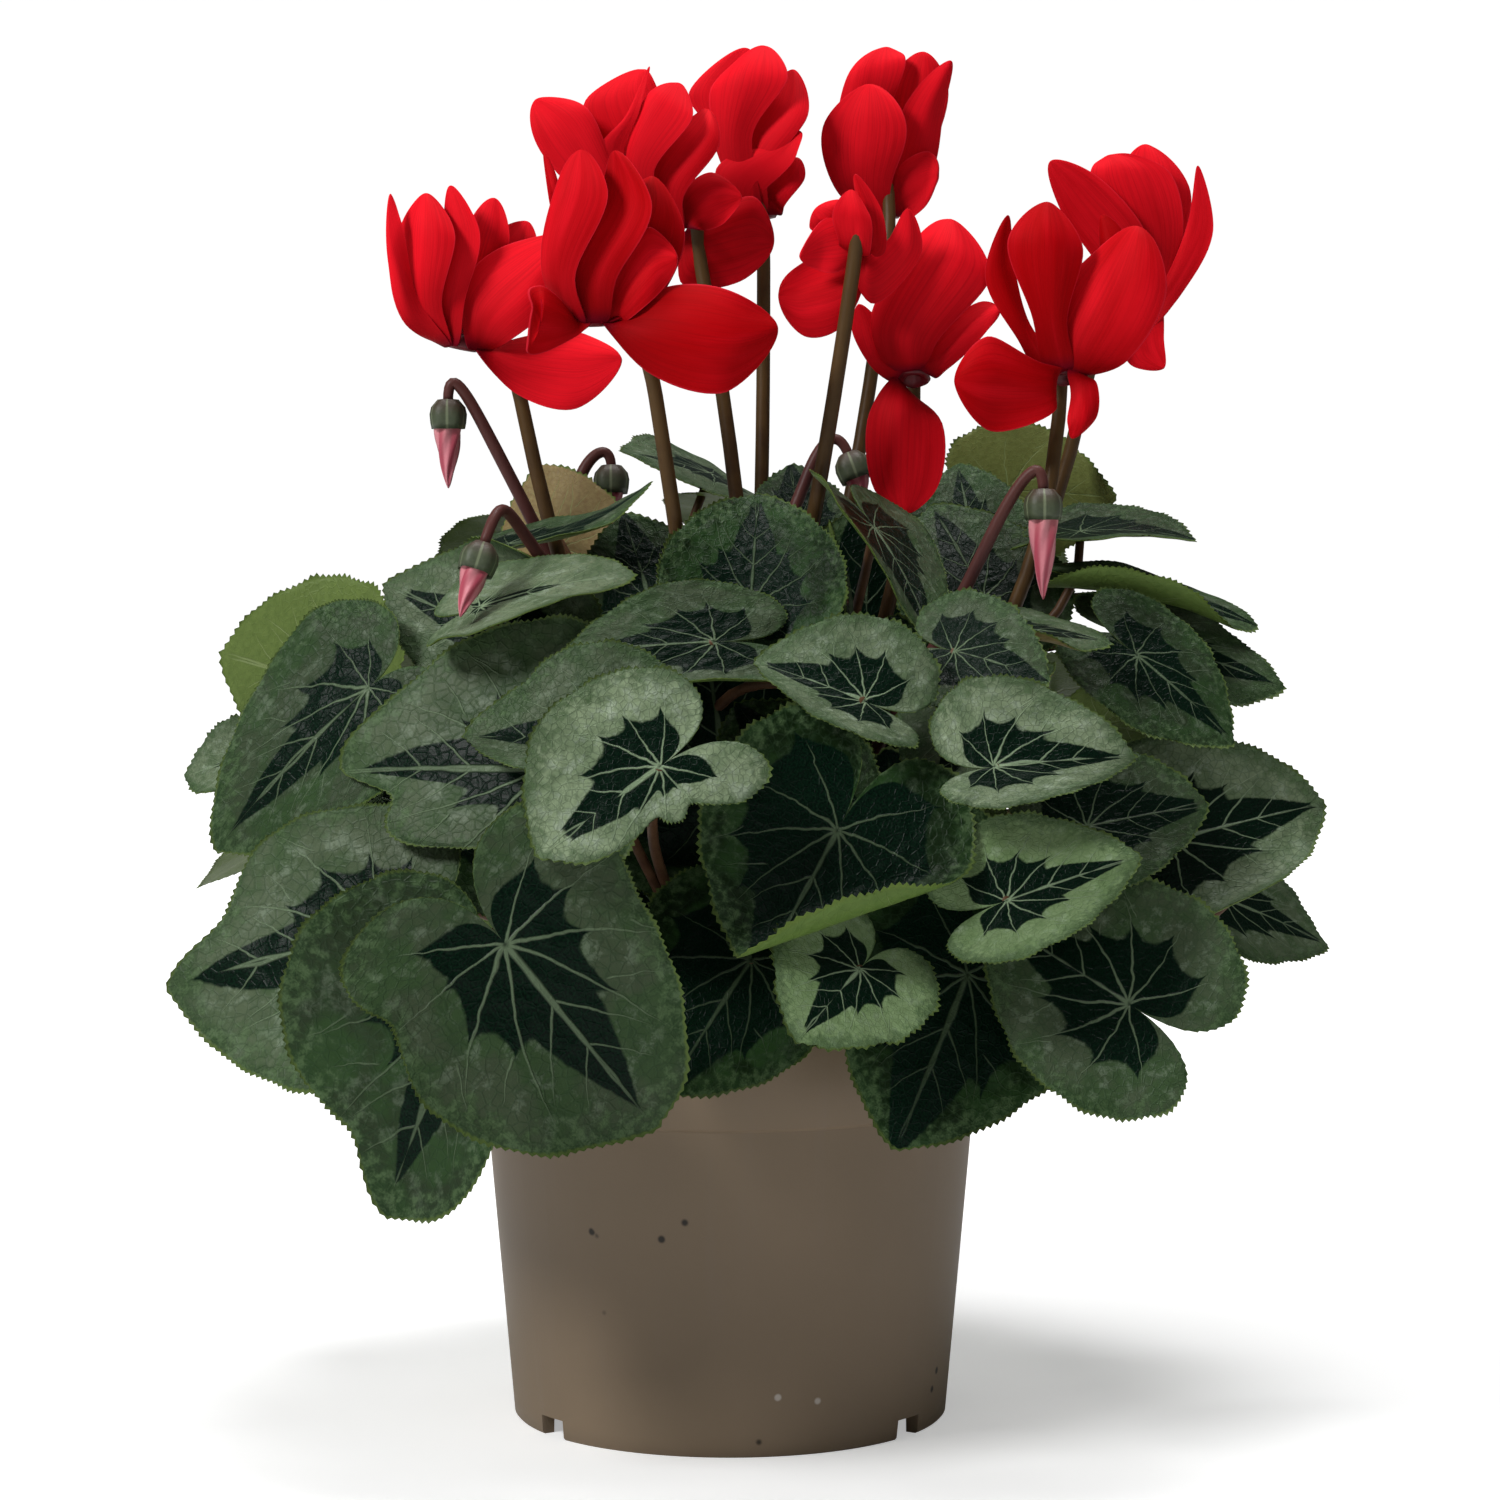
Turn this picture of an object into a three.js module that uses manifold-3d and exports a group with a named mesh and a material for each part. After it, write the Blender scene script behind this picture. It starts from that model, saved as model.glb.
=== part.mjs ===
// A potted cyclamen in millimetres, +Z up, seen from -Y, resting on the feet of its pot at z = 0:
// nursery pot, peat, corm, red blooms and drooping buds on hooked stems, and a dome of heart-shaped leaves.
import * as THREE from 'three';
import { mergeVertices } from 'three/addons/utils/BufferGeometryUtils.js';
import Module from 'manifold-3d';

const wasm = await Module();
wasm.setup();

// ---------- Driving dimensions ----------
const POT = {
  height: 112, foot: 56, waist: 61.4, waistHeight: 61, shoulder: 63.2, rim: 66, wall: 1.6, segments: 36,
};
const RIM_BAND = { from: 82, step: 0.9 };
const POT_FLOOR = { from: 5.5, to: 7.5, drains: 4, drainRadius: 5, drainRing: 34 };
const FOOT = { ring: 3.2, notchHeight: 5, notchWidth: 9, notchAngles: [53, 127, 233, 307] };
const SOIL = { top: 101, clearance: 0.4 };
const CORM = { radius: 28, height: 26, centre: 97, clearance: 0.3, steps: 6, segments: 14 };
const ROOT = { depth: 5, hole: 0.3, holeSides: 6, spread: 23.5, tried: 9, turn: 137.508 };
const PETIOLE = { base: 1.8, top: 1.3, sides: 3, steps: 4, clear: 0.12 };
const STEM = { base: 2.3, top: 1.9, hook: 1.6, sides: 4, steps: 4, hookSteps: 4, clear: 0.4 };
const BLADE = { thickness: 0.8, largePoints: 16, smallPoints: 12, largeFrom: 27, tooth: 0.03, inner: 0.52 };
const HEART = {
  side: 0.685, point: 0.315, pointSpread: 29, pointPower: 1.15, sinus: 0.9, sinusSpread: 13, sinusPower: 1.1,
};
const PETAL = {
  thickness: 0.8, stations: [0, 0.42, 0.8], from: 4, claw: 3.1, drop: 1, lean: 0.7, dish: 0.22,
};
const MOUTH = { profile: [[0, 1], [3.2, -2.6], [5, -1.4], [3.6, 2.6], [0, 2.8]], sides: 6, stemSeat: 3.1 };
const BUD = {
  radius: 3.3, sides: 8, twist: 2.2, groove: 0.86, profile: [[0.04, 0.6], [0.3, 1], [0.7, 0.7]], straightShare: 0.35,
};
const CALYX = { profile: [[0, 1.6], [4.6, -1.8], [4.2, -6.2], [3.6, -1.4], [0, 0]], seat: 0.6, budSeat: 0.4 };
const PUSH = { step: 1.2, most: 24, clear: 0.5 };
const LEAF_ROOTS = { count: 29, leavesEach: 3 };

const DEGREE = Math.PI / 180;
const UP = new THREE.Vector3(0, 0, 1);
const TO_VIEWER = new THREE.Vector3(0, -1, 0);

// ---------- Leaves: name, hub (where the petiole meets the blade), tip, way the upper face looks, shape ----------
// Deeper leaves come first: each one is set down clear of those before it.
const LEAVES = [
  ['crest_olive_back', [75, 42, 239], [103, 30, 237], [0.1, 0.9, 0.35],
    { cup: [0.3, 0.5], wide: [1, 0.9] }],
  ['crest_silver', [-5, 44, 242], [-28, 24, 247], [0, -0.45, 1], { cup: [-0.3, 0.3] }],
  ['crest_brown_left', [-44, 12, 224], [-50, 26, 246], [0, 0.9, 0.5], { cup: [0.4, 0.4] }],
  ['crest_dark_middle', [18, 24, 231], [16, 36, 246], [0, -1, 0.5], {}],
  ['crest_silver_right', [63, 14, 228], [60, 28, 246], [0, -1, 0.6], {}],
  ['top_right_flat', [89, -15, 228], [118, -22, 226], [0, -0.2, 1], { cup: [0.5, 0.3] }],
  ['top_right_rolled', [98, -30, 215], [133, -28, 204], [0.1, -0.35, 1],
    { rolls: [[-90, 0.2, 5]], wide: [0.5, 0.8] }],
  ['top_left_fold', [-55, -48, 202], [-86, -32, 215], [-0.1, -1, 0.35],
    { rolls: [[-90, 0.35, 5]], wide: [0.75, 1] }],
  ['top_left_trough', [-55, -36, 225], [-19, -34, 241], [0, -0.3, 1],
    { cup: [0.6, 1.4], wide: [0.35, 0.5], bend: 0.5, base: 0.4 }],
  ['top_dark_left', [-20, -38, 211], [-27, -26, 233], [0.1, -1, 0.3], {}],
  ['top_right_broad', [65, -8, 211], [52, 12, 235], [0.2, -1, 0.5], {}],
  ['top_erect', [5, -66, 211], [7, -44, 238], [0, -1, 0.2], { cup: [0.9, 0.9] }],
  ['top_right_vee', [35, -46, 229], [48, -66, 203], [0.7, -0.8, 0.2],
    { cup: [0.2, 1.6], wide: [0.7, 0.7] }],
  ['top_pale_edge', [28, -60, 211], [24, -52, 231], [0.9, -0.1, 0.1],
    { cup: [0.5, 0.5], wide: [0.6, 0.6] }],
  ['left_green_back', [-101, -12, 188], [-132, 2, 197], [-0.15, 1, 0.25],
    { cup: [0.3, 0.5], wide: [1.2, 1.25] }],
  ['left_pale_curl', [-125, -15, 170], [-140, -8, 165], [-0.3, -0.8, 0.6], { cup: [1, 1] }],
  ['left_folded', [-88, -58, 190], [-127, -46, 149], [-0.5, -0.85, 0.25],
    { cup: [0.5, 0.2], rolls: [[70, 0.45, 5]], bend: -0.3, wide: [0.68, 0.66], base: 0.5 }],
  ['left_dark_low', [-87, -40, 162], [-119, -40, 147], [-0.2, -1, 0.3], { wide: [0.8, 0.8] }],
  ['pale_cup', [-60, -60, 210], [-22, -66, 218], [0, -0.55, 1],
    { cup: [0.6, 0.9], wide: [0.6, 0.7], base: 0.6 }],
  ['right_red_under', [66, -66, 205], [92, -70, 201], [0, -0.4, 1],
    { rolls: [[-90, 0.2, 5]], wide: [0.6, 0.7] }],
  ['right_tip_high', [104, -40, 201], [139, -40, 189], [0.2, -0.9, 0.6],
    { rolls: [[-90, 0.2, 5]], wide: [0.55, 0.7] }],
  ['right_green_back', [91, -50, 181], [113, -40, 176], [0.1, 0.8, 0.6], {}],
  ['right_grey', [99, -50, 198], [123, -52, 176], [0.25, -1, 0.5], { wide: [0.7, 0.8] }],
  ['right_grey_inner', [53, -80, 200], [75, -88, 193], [0, -1, 0.6], {}],
  ['dark_inner_top', [17, -72, 166], [1, -62, 187], [0, -1, 0.4], {}],
  ['tan_curl', [60, -86, 186], [46, -96, 162], [-0.5, -0.8, 0.4], { cup: [1.5, 0.5] }],
  ['dark_rim_middle', [5, -70, 125], [-16, -86, 94], [0, -1, 0.35], { rolls: [[90, 0.4, 3]] }],
  ['dark_rim_right', [57, -72, 122], [39, -84, 81], [0.1, -1, 0.2], {}],
  ['right_low_tip', [124, -30, 136], [153, -15, 122], [0.4, -0.8, 0.4], { wide: [0.6, 0.6] }],
  ['right_low_green', [122, -45, 144], [101, -60, 139], [0, 0.8, 0.6], { wide: [0.7, 0.7] }],
  ['right_far_big', [108, -52, 153], [148, -36, 161], [0.3, -0.9, 0.35],
    { rolls: [[-80, 0.3, 5]], wide: [0.87, 0.8] }],
  ['right_dark', [85, -80, 158], [115, -74, 163], [0.15, -1, 0.4], { wide: [0.95, 0.8] }],
  ['right_low_heart', [94, -92, 117], [61, -78, 137], [0.25, -1, 0.1], { bend: -0.2, wide: [1, 1.05] }],
  ['centre_shelf', [-4, -80, 202], [-40, -90, 199], [0, -1, 0.6],
    { rolls: [[90, 0.2, 6]], wide: [0.6, 0.66] }],
  ['left_mid', [-30, -98, 180], [-63, -88, 180], [0, -1, 0.4], { wide: [0.45, 1], swells: [[-30, -0.08, 18]] }],
  ['left_long', [-45, -88, 172], [-98, -64, 170], [-0.1, -1, 0.45],
    { cup: [-0.6, 0.2], wide: [0.8, 0.95], base: 0.8, swells: [[12, -0.24, 11], [75, -0.4, 36], [-25, -0.06, 15]] }],
  ['centre_dark_big', [25, -96, 159], [3, -108, 132], [0.05, -1, 0.25],
    { rolls: [[45, 0.35, 6]], wide: [1.15, 1.15], base: 1.15 }],
  ['centre_twisted', [31, -104, 189], [5, -100, 198], [0, -1, 0.5], { wide: [0.45, 1.1] }],
  ['right_round', [61, -106, 174], [95, -98, 176], [0, -1, 0.45], { wide: [0.92, 0.42], base: 0.7 }],
  ['right_light', [64, -110, 143], [96, -104, 153], [0.05, -1, 0.4], { wide: [0.85, 0.6], base: 0.9 }],
  ['left_low_far', [-84, -80, 133], [-138, -58, 117], [-0.35, -0.85, 0.35],
    { wide: [0.95, 0.9], base: 0.7, swells: [[-20, -0.14, 14], [-95, -0.15, 30]] }],
  ['left_low_hang', [-61, -94, 118], [-82, -84, 66], [-0.25, -1, 0.15],
    { wide: [0.75, 1.05], base: 0.8, swells: [[-19, -0.16, 15], [-70, 0.08, 30], [24, 0.08, 15], [60, -0.2, 25]] }],
  ['left_low_big', [-51, -112, 135], [-17, -96, 90], [-0.05, -1, 0.3],
    { base: 0.72, swells: [[-95, -0.22, 20], [-130, 0.06, 20], [-35, 0.06, 18], [72, -0.22, 35], [12, 0.05, 10]] }],
  ['centre_low_round', [30, -112, 127], [15, -122, 111], [0, -1, 0.35], { wide: [1.2, 1.3] }],
  ['hero_front', [-16, -118, 175], [-43, -124, 155], [0.05, -1, 0.35],
    { wide: [1, 1.05], cup: [-0.3, 0.1], swells: [[-45, 0.16, 35], [50, -0.5, 25], [95, -0.5, 24], [148, 0.15, 20]] }],
  ['back_top_left', [-50, 50, 226], [-78, 74, 212], [-0.5, 0.6, 0.8], {}],
  ['back_top', [8, 62, 234], [8, 98, 222], [0, 0.6, 1], {}],
  ['back_top_right', [58, 66, 222], [82, 92, 204], [0.5, 0.6, 0.8], {}],
  ['back_left', [-86, 52, 188], [-120, 74, 164], [-0.8, 0.7, 0.6], {}],
  ['back_middle_left', [-34, 96, 190], [-46, 128, 162], [-0.2, 1, 0.6], {}],
  ['back_middle_right', [34, 98, 190], [46, 130, 162], [0.3, 1, 0.6], {}],
  ['back_right', [88, 58, 184], [122, 80, 162], [0.8, 0.7, 0.6], {}],
  ['side_left', [-96, 14, 158], [-140, 30, 134], [-0.9, 0.3, 0.5], {}],
  ['side_right', [104, 22, 160], [142, 36, 134], [0.9, 0.3, 0.5], {}],
  ['side_left_high', [-74, 32, 206], [-106, 46, 192], [-0.7, 0.2, 0.8], {}],
  ['side_right_high', [92, 32, 200], [126, 42, 184], [0.8, 0.1, 0.8], {}],
  ['back_low_left', [-84, 58, 138], [-118, 86, 104], [-0.8, 0.7, 0.5], {}],
  ['back_low_middle_left', [-42, 96, 140], [-56, 128, 100], [-0.4, 1, 0.4], {}],
  ['back_low_middle', [6, 102, 142], [4, 138, 104], [0, 1, 0.4], {}],
  ['back_low_middle_right', [52, 94, 140], [70, 126, 102], [0.5, 1, 0.4], {}],
  ['back_low_right', [88, 56, 138], [124, 80, 106], [0.8, 0.7, 0.5], {}],
  ['inner_middle', [0, -30, 165], [-8, -28, 210], [0, -1, 0.2], { wide: [1.15, 1.15] }],
  ['inner_left', [-48, -30, 155], [-60, -28, 195], [-0.2, -1, 0.2], {}],
  ['inner_low_left', [-12, -40, 128], [-20, -42, 168], [0, -1, 0.2], {}],
  ['inner_low_right', [44, -36, 134], [38, -38, 176], [0.1, -1, 0.2], {}],
  ['inner_top_right', [36, 6, 198], [34, 8, 236], [0, -1, 0.2], {}],
  ['inner_high_right', [36, -24, 170], [42, -22, 208], [0.1, -1, 0.2], {}],
];

// ---------- Blooms: base of the petals, way the mouth looks, two points of the straight stem ----------
// Petals, as seen from the front: two points [x, z] up one side, the tip, two points down the other side, all from
// the base, and how far behind the base the first side, the tip and the second side are.
const BLOOMS = [
  {
    base: [-67, -25, 275], mouth: [-0.2, 0, -1], stem: [[-46, -22, 228], [-52, -20, 258]],
    petals: [
      [[-14, 5], [-17.5, 19.5], [-17, 36.5], [-14.5, 30], [-10.5, 11], [-10, -9, -10]],
      [[-13, 7.5], [-15.5, 26.5], [-8.5, 37], [-1, 26], [-4.5, 9.5], [-6, -5, -10]],
      [[-6, 8], [-4.5, 26.5], [-2.5, 39], [5, 28], [1, 11], [-4, -4, -8]],
      [[-1, 12], [2, 31], [8, 36.5], [12, 26.5], [7, 12], [2, 3, 0]],
      [[3, 10], [8, 27], [16, 31], [18.5, 25], [12, 10], [6, 7, 5]],
      [[0.5, 15], [12.5, 24.5], [26, 26.5], [25, 13], [13, 1], [-2, -2, -6]],
      [[16, 2], [30.5, 2.5], [40, -4], [28.5, -16.5], [13, -12], [1, -3, -2]],
    ],
  },
  {
    base: [-33.5, -62, 279], mouth: [0, 0, -1], stem: [[-11, -55, 216], [-18, -58, 261]],
    petals: [
      [[-8.5, 17], [-9.5, 27.5], [-11, 40], [-8, 34], [-5, 17], [-4, -3, -4]],
      [[-11, 10], [-8.5, 29], [-2, 40], [4.5, 30], [-3.5, 10], [-6, -7, -12]],
      [[-5, 12], [2, 27.5], [6, 40], [15.5, 27.5], [6.5, 10], [-4, -5, -10]],
      [[3, 12], [9, 29], [15, 34.5], [22.5, 20.5], [17, 6], [0, 2, -1]],
      [[5.5, 8.5], [14.5, 21.5], [21, 14.5], [17, 7], [9.5, 0], [-3, -6, -5]],
      [[-4, -4.5], [-14.5, -8.5], [-13.5, 2], [-12, 8], [-5, 2], [-9, -12, -9]],
      [[17.5, 7.5], [34, 6.5], [45, -2], [32.5, -17.5], [14, -12.5], [-4, -3, -8]],
    ],
  },
  {
    base: [-9, 5, 307], mouth: [0, 0.15, -1], stem: [[3, 0, 239], [-7, 8, 294]],
    petals: [
      [[-23.5, 3], [-40, 20], [-41, 31.5], [-28, 29.5], [-19, 12], [-4, -2, -7]],
      [[-18, 14], [-28.5, 30], [-14.5, 40], [-9.5, 35], [-5, 16.5], [2, 4, 0]],
      [[-24, 18.5], [-17.5, 27], [-11.5, 39.5], [-14, 28.5], [-18, 16.5], [-9, -7, -9]],
      [[-18, 14.5], [-12, 31], [-4, 35.5], [-0.5, 26.5], [-10.5, 12], [-7, -5, -12]],
      [[-12, 13], [-1.5, 27], [3.5, 29], [6.5, 20], [-2.5, 7], [-4, -3, -8]],
      [[-3, 8.5], [4.5, 13], [12, 7], [8, 1], [2.5, -1.5], [-1, -3, -2]],
      [[6, 3], [15, 7.5], [20.5, -4], [13, -13.5], [-3.5, -14.5], [6, 8, 8]],
    ],
  },
  {
    base: [8.5, 45, 313], mouth: [0.1, 0, -1], stem: [[9, 36, 252], [9, 38, 299]],
    petals: [
      [[-14.5, 23], [-19, 32.5], [-4, 44.5], [1.5, 33], [-3.5, 14], [5, 4, 3]],
      [[-12, 18], [-13.5, 33], [0.5, 44], [6.5, 35], [-2.5, 20], [-6, -4, -11]],
      [[-8, 14], [0.5, 29], [8.5, 38], [12.5, 25], [2, 11], [-3, -2, -8]],
      [[-12, 11], [-0.5, 17.5], [10.5, 21], [9.5, 14.5], [0, 5], [-5, -8, -9]],
      [[-1, 8], [4.5, 13], [10, 14.5], [11.5, 9], [6, 1.5], [-2, -3, -4]],
    ],
  },
  {
    base: [42, 55, 314], mouth: [0, 0, -1], stem: [[34, 40, 235], [42, 44, 300]],
    petals: [
      [[-14, 7.5], [-16.5, 23.5], [-4.5, 33.5], [5.5, 23.5], [1.5, 8.5], [-8, -9, -12]],
      [[-12.5, 17.5], [-11, 34.5], [0, 44.5], [5, 41.5], [0.5, 25.5], [-2, 1, -1]],
      [[0, 16], [2, 37], [10.5, 43.5], [17, 35], [12, 15], [3, 2, 3]],
      [[0, 12], [5, 28], [17.5, 40.5], [15.5, 27], [13, 11], [-6, -3, -2]],
      [[4, 12], [12, 16], [14, 9], [11.5, 2], [6, -2], [-6, -7, -4]],
    ],
  },
  {
    base: [31, -45, 301], mouth: [0, 0.9, -0.3], stem: [[20, -50, 221], [30, -52, 292]],
    petals: [
      [[-6, -0.5], [-11.5, 1], [-10, 6], [-3, 8], [0.5, 5], [-3, -4, -5]],
      [[-2, -8], [-9, -9], [-14, -6], [-8, 3], [0.5, 5], [-2, -6, -6]],
      [[-2, -21], [-12.5, -25], [-19, -15], [-13.5, -7], [-1, -3], [3, 4, 1]],
      [[0.5, 0.5], [-0.5, 9], [-0.5, 14], [6, 6], [6.5, -5], [-3, -5, -3]],
      [[2, -6], [8, -1], [12.5, 6], [16, -5], [4, -17], [-1, -2, 1]],
    ],
  },
  {
    base: [46, -28, 267], mouth: [0, -0.5, -0.85], stem: [[44, -22, 222], [46, -18, 250]],
    petals: [
      [[-12, 3.5], [-15.5, 11.5], [-14, 17.5], [-9, 13], [-7, 4.5], [-4, -5, -2]],
      [[-11.5, 11], [-1.5, 32], [9, 38.5], [18, 25], [5.5, 8], [-5, -3, -10]],
      [[3.5, 8], [16.5, 18.5], [21, 16], [17.5, 10], [8, 1.5], [-4, -6, -6]],
      [[-6, 12], [-2, 30], [4, 36], [12, 32], [6, 12], [4, 5, 4]],
      [[7, -13], [4.5, -29], [-2.5, -34.5], [-9.5, -29.5], [-11.5, -10], [-9, -9, -7]],
    ],
  },
  {
    base: [83, -35, 267], mouth: [0, -0.4, -0.9], stem: [[80, -34, 236], [82, -30, 256]],
    petals: [
      [[-11.5, 8], [-20, 24.5], [-14.5, 39], [-13, 28], [-9, 13], [-3, -4, -2]],
      [[-8.5, 14], [-14.5, 32.5], [-5, 42], [3, 31.5], [0, 13], [-8, -6, -10]],
      [[4.5, 13], [8.5, 27], [9.5, 39.5], [14.5, 34.5], [10.5, 17], [2, 3, 0]],
      [[-4, 10], [2.5, 26.5], [17.5, 36], [24.5, 20.5], [14.5, 3], [-5, -7, -11]],
      [[-3, -9], [-18, -14], [-28, -2], [-20, 8.5], [-6, 2.5], [-11, -11, -9]],
      [[7.5, -2.5], [7, -11], [1, -16], [0, -12.5], [1, -5.5], [-9, -10, -10]],
    ],
  },
  {
    base: [104, 30, 280], mouth: [0, 0.3, -1], stem: [[88, 24, 238], [93, 22, 264]],
    petals: [
      [[2.5, 27], [1.5, 47], [6.5, 50.5], [18, 38], [13.5, 17.5], [4, 6, 3]],
      [[-0.5, 23.5], [-9, 42.5], [-4, 47], [11.5, 43], [15, 22.5], [-2, -1, -4]],
      [[10.5, 13.5], [17, 29], [19, 44], [23, 27], [15, 10.5], [-3, -5, -5]],
      [[-5.5, 15.5], [-17, 32], [-20, 45], [-7, 40.5], [6.5, 23.5], [-5, -7, -8]],
      [[10, 7.5], [10.5, -1], [10.5, -9], [3, -8.5], [0.5, -5], [-3, -4, -2]],
    ],
  },
];

// ---------- Buds: where the stem leaves the leaves, top of its hook, calyx, tip of the bud ----------
const BUDS = [
  { rise: [-54, -18, 239], hook: [-68, -20, 266], calyx: [-71, -20, 260], tip: [-71, -20, 239] },
  { rise: [-44, -54, 219], hook: [-53, -62, 232], calyx: [-59, -75, 224], tip: [-64, -80, 208] },
  { rise: [-40, 14, 240], hook: [-36, 15, 249], calyx: [-31, 15, 244], tip: [-31, 14, 231] },
  { rise: [19, 4, 240], hook: [24, 5, 252], calyx: [31, 5, 247], tip: [35, 3, 236] },
  { rise: [58, -66, 217], hook: [70, -70, 243], calyx: [75, -71, 237], tip: [75, -72, 212] },
];

// ---------- Solids ----------
const vector = (list) => new THREE.Vector3(...list);
const unit = (v) => v.clone().normalize();

function solidFrom(points, triangles) {
  const vertProperties = new Float32Array(points.flatMap((p) => [p.x, p.y, p.z]));
  const solid = new wasm.Manifold(
    new wasm.Mesh({ numProp: 3, vertProperties, triVerts: new Uint32Array(triangles.flat()) }),
  );
  if (solid.volume() > 0) return solid;
  const turned = new Uint32Array(triangles.flatMap(([a, b, c]) => [a, c, b]));
  return new wasm.Manifold(new wasm.Mesh({ numProp: 3, vertProperties, triVerts: turned }));
}

function solidFromGeometry(geometry) {
  const bare = geometry.clone();
  bare.deleteAttribute('normal');
  bare.deleteAttribute('uv');
  const merged = mergeVertices(bare, 1e-4);
  const position = merged.getAttribute('position');
  const points = [];
  for (let i = 0; i < position.count; i++) points.push(new THREE.Vector3().fromBufferAttribute(position, i));
  const triangles = [];
  const index = merged.index.array;
  for (let i = 0; i < index.length; i += 3) {
    const [a, b, c] = index.slice(i, i + 3);
    if (a !== b && b !== c && a !== c) triangles.push([a, b, c]);
  }
  return solidFrom(points, triangles);
}

// A turned body from a profile of [radius, height] points that starts and ends on the axis.
function turned(profile, segments) {
  const geometry = new THREE.LatheGeometry(profile.map(([r, h]) => new THREE.Vector2(r, h)), segments);
  geometry.rotateX(Math.PI / 2);
  return solidFromGeometry(geometry);
}

function geometryFrom(solid) {
  const mesh = solid.getMesh();
  const geometry = new THREE.BufferGeometry();
  geometry.setAttribute('position', new THREE.BufferAttribute(new Float32Array(mesh.vertProperties), 3));
  geometry.setIndex(new THREE.BufferAttribute(new Uint32Array(mesh.triVerts), 1));
  geometry.computeVertexNormals();
  return geometry;
}

// The solid without the crumbs that a boolean can leave beside it.
function mainBody(solid) {
  return solid.decompose().sort((a, b) => b.volume() - a.volume())[0];
}

// ---------- Pot, peat and corm ----------
// Outer radius of the pot at a height: a steep lower wall, a waist, and the rim band standing a little proud.
function potRadius(height) {
  const { foot, waist, waistHeight, shoulder, rim } = POT;
  if (height >= RIM_BAND.from) {
    const share = (height - RIM_BAND.from) / (POT.height - RIM_BAND.from);
    return THREE.MathUtils.lerp(shoulder + RIM_BAND.step, rim, share);
  }
  if (height > waistHeight) {
    return THREE.MathUtils.lerp(waist, shoulder, (height - waistHeight) / (RIM_BAND.from - waistHeight));
  }
  return THREE.MathUtils.lerp(foot, waist, height / waistHeight);
}

function box(centre, size, degrees) {
  const geometry = new THREE.BoxGeometry(...size);
  geometry.translate(...centre).rotateZ(degrees * DEGREE);
  return solidFromGeometry(geometry);
}

function cylinder(x, y, from, to, radius, sides) {
  const geometry = new THREE.CylinderGeometry(radius, radius, to - from, sides);
  geometry.rotateX(Math.PI / 2).translate(x, y, (from + to) / 2);
  return solidFromGeometry(geometry);
}

function potSolid() {
  const shell = turned([
    [0, POT_FLOOR.from],
    [POT.foot - FOOT.ring, POT_FLOOR.from],
    [POT.foot - FOOT.ring, 0],
    [potRadius(0), 0],
    [potRadius(POT.waistHeight), POT.waistHeight],
    [POT.shoulder, RIM_BAND.from],
    [POT.shoulder + RIM_BAND.step, RIM_BAND.from + RIM_BAND.step],
    [POT.rim, POT.height - 1],
    [POT.rim - 1, POT.height],
    [POT.rim - POT.wall, POT.height],
    [potRadius(RIM_BAND.from) - POT.wall - RIM_BAND.step, RIM_BAND.from],
    [potRadius(POT.waistHeight) - POT.wall, POT.waistHeight],
    [potRadius(POT_FLOOR.to) - POT.wall, POT_FLOOR.to],
    [0, POT_FLOOR.to],
  ], POT.segments);
  const cuts = FOOT.notchAngles.map((degrees) => box(
    [0, -POT.foot, FOOT.notchHeight / 2 - 1], [FOOT.notchWidth, 16, FOOT.notchHeight + 2], degrees,
  ));
  for (let i = 0; i < POT_FLOOR.drains; i++) {
    const angle = (2 * Math.PI * i) / POT_FLOOR.drains;
    const x = POT_FLOOR.drainRing * Math.cos(angle);
    const y = POT_FLOOR.drainRing * Math.sin(angle);
    cuts.push(cylinder(x, y, POT_FLOOR.from - 1, POT_FLOOR.to + 1, POT_FLOOR.drainRadius, 6));
  }
  return cuts.reduce((pot, cut) => pot.subtract(cut), shell);
}

function cormSolid(extra) {
  const { radius, height, centre } = CORM;
  const profile = Array.from({ length: CORM.steps + 1 }, (_, i) => {
    const angle = (Math.PI * i) / CORM.steps;
    return [(radius + extra) * Math.sin(angle), centre - (height / 2 + extra) * Math.cos(angle)];
  });
  return turned(profile, CORM.segments);
}

// The peat fills the pot to a low heap round the corm, which sits in it to more than half its height.
function soilSolid() {
  const gap = POT.wall + SOIL.clearance;
  const bed = turned([
    [0, POT_FLOOR.to + SOIL.clearance],
    [potRadius(POT_FLOOR.to) - gap, POT_FLOOR.to + SOIL.clearance],
    [potRadius(POT.waistHeight) - gap, POT.waistHeight],
    [potRadius(RIM_BAND.from) - gap - RIM_BAND.step, RIM_BAND.from],
    [potRadius(SOIL.top) - gap - RIM_BAND.step, SOIL.top - 2],
    [CORM.radius * 1.7, SOIL.top],
    [0, SOIL.top + 1],
  ], 20);
  return mainBody(bed.subtract(cormSolid(CORM.clearance)));
}

// ---------- Stems ----------
function bezier(a, b, c, d, t) {
  const s = 1 - t;
  return a.clone().multiplyScalar(s * s * s)
    .addScaledVector(b, 3 * s * s * t)
    .addScaledVector(c, 3 * s * t * t)
    .addScaledVector(d, t * t * t);
}

// Centre points along one cubic curve, without its first point.
function curvePoints(controls, steps) {
  const points = [];
  for (let i = 1; i <= steps; i++) points.push(bezier(...controls, i / steps));
  return points;
}

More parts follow.
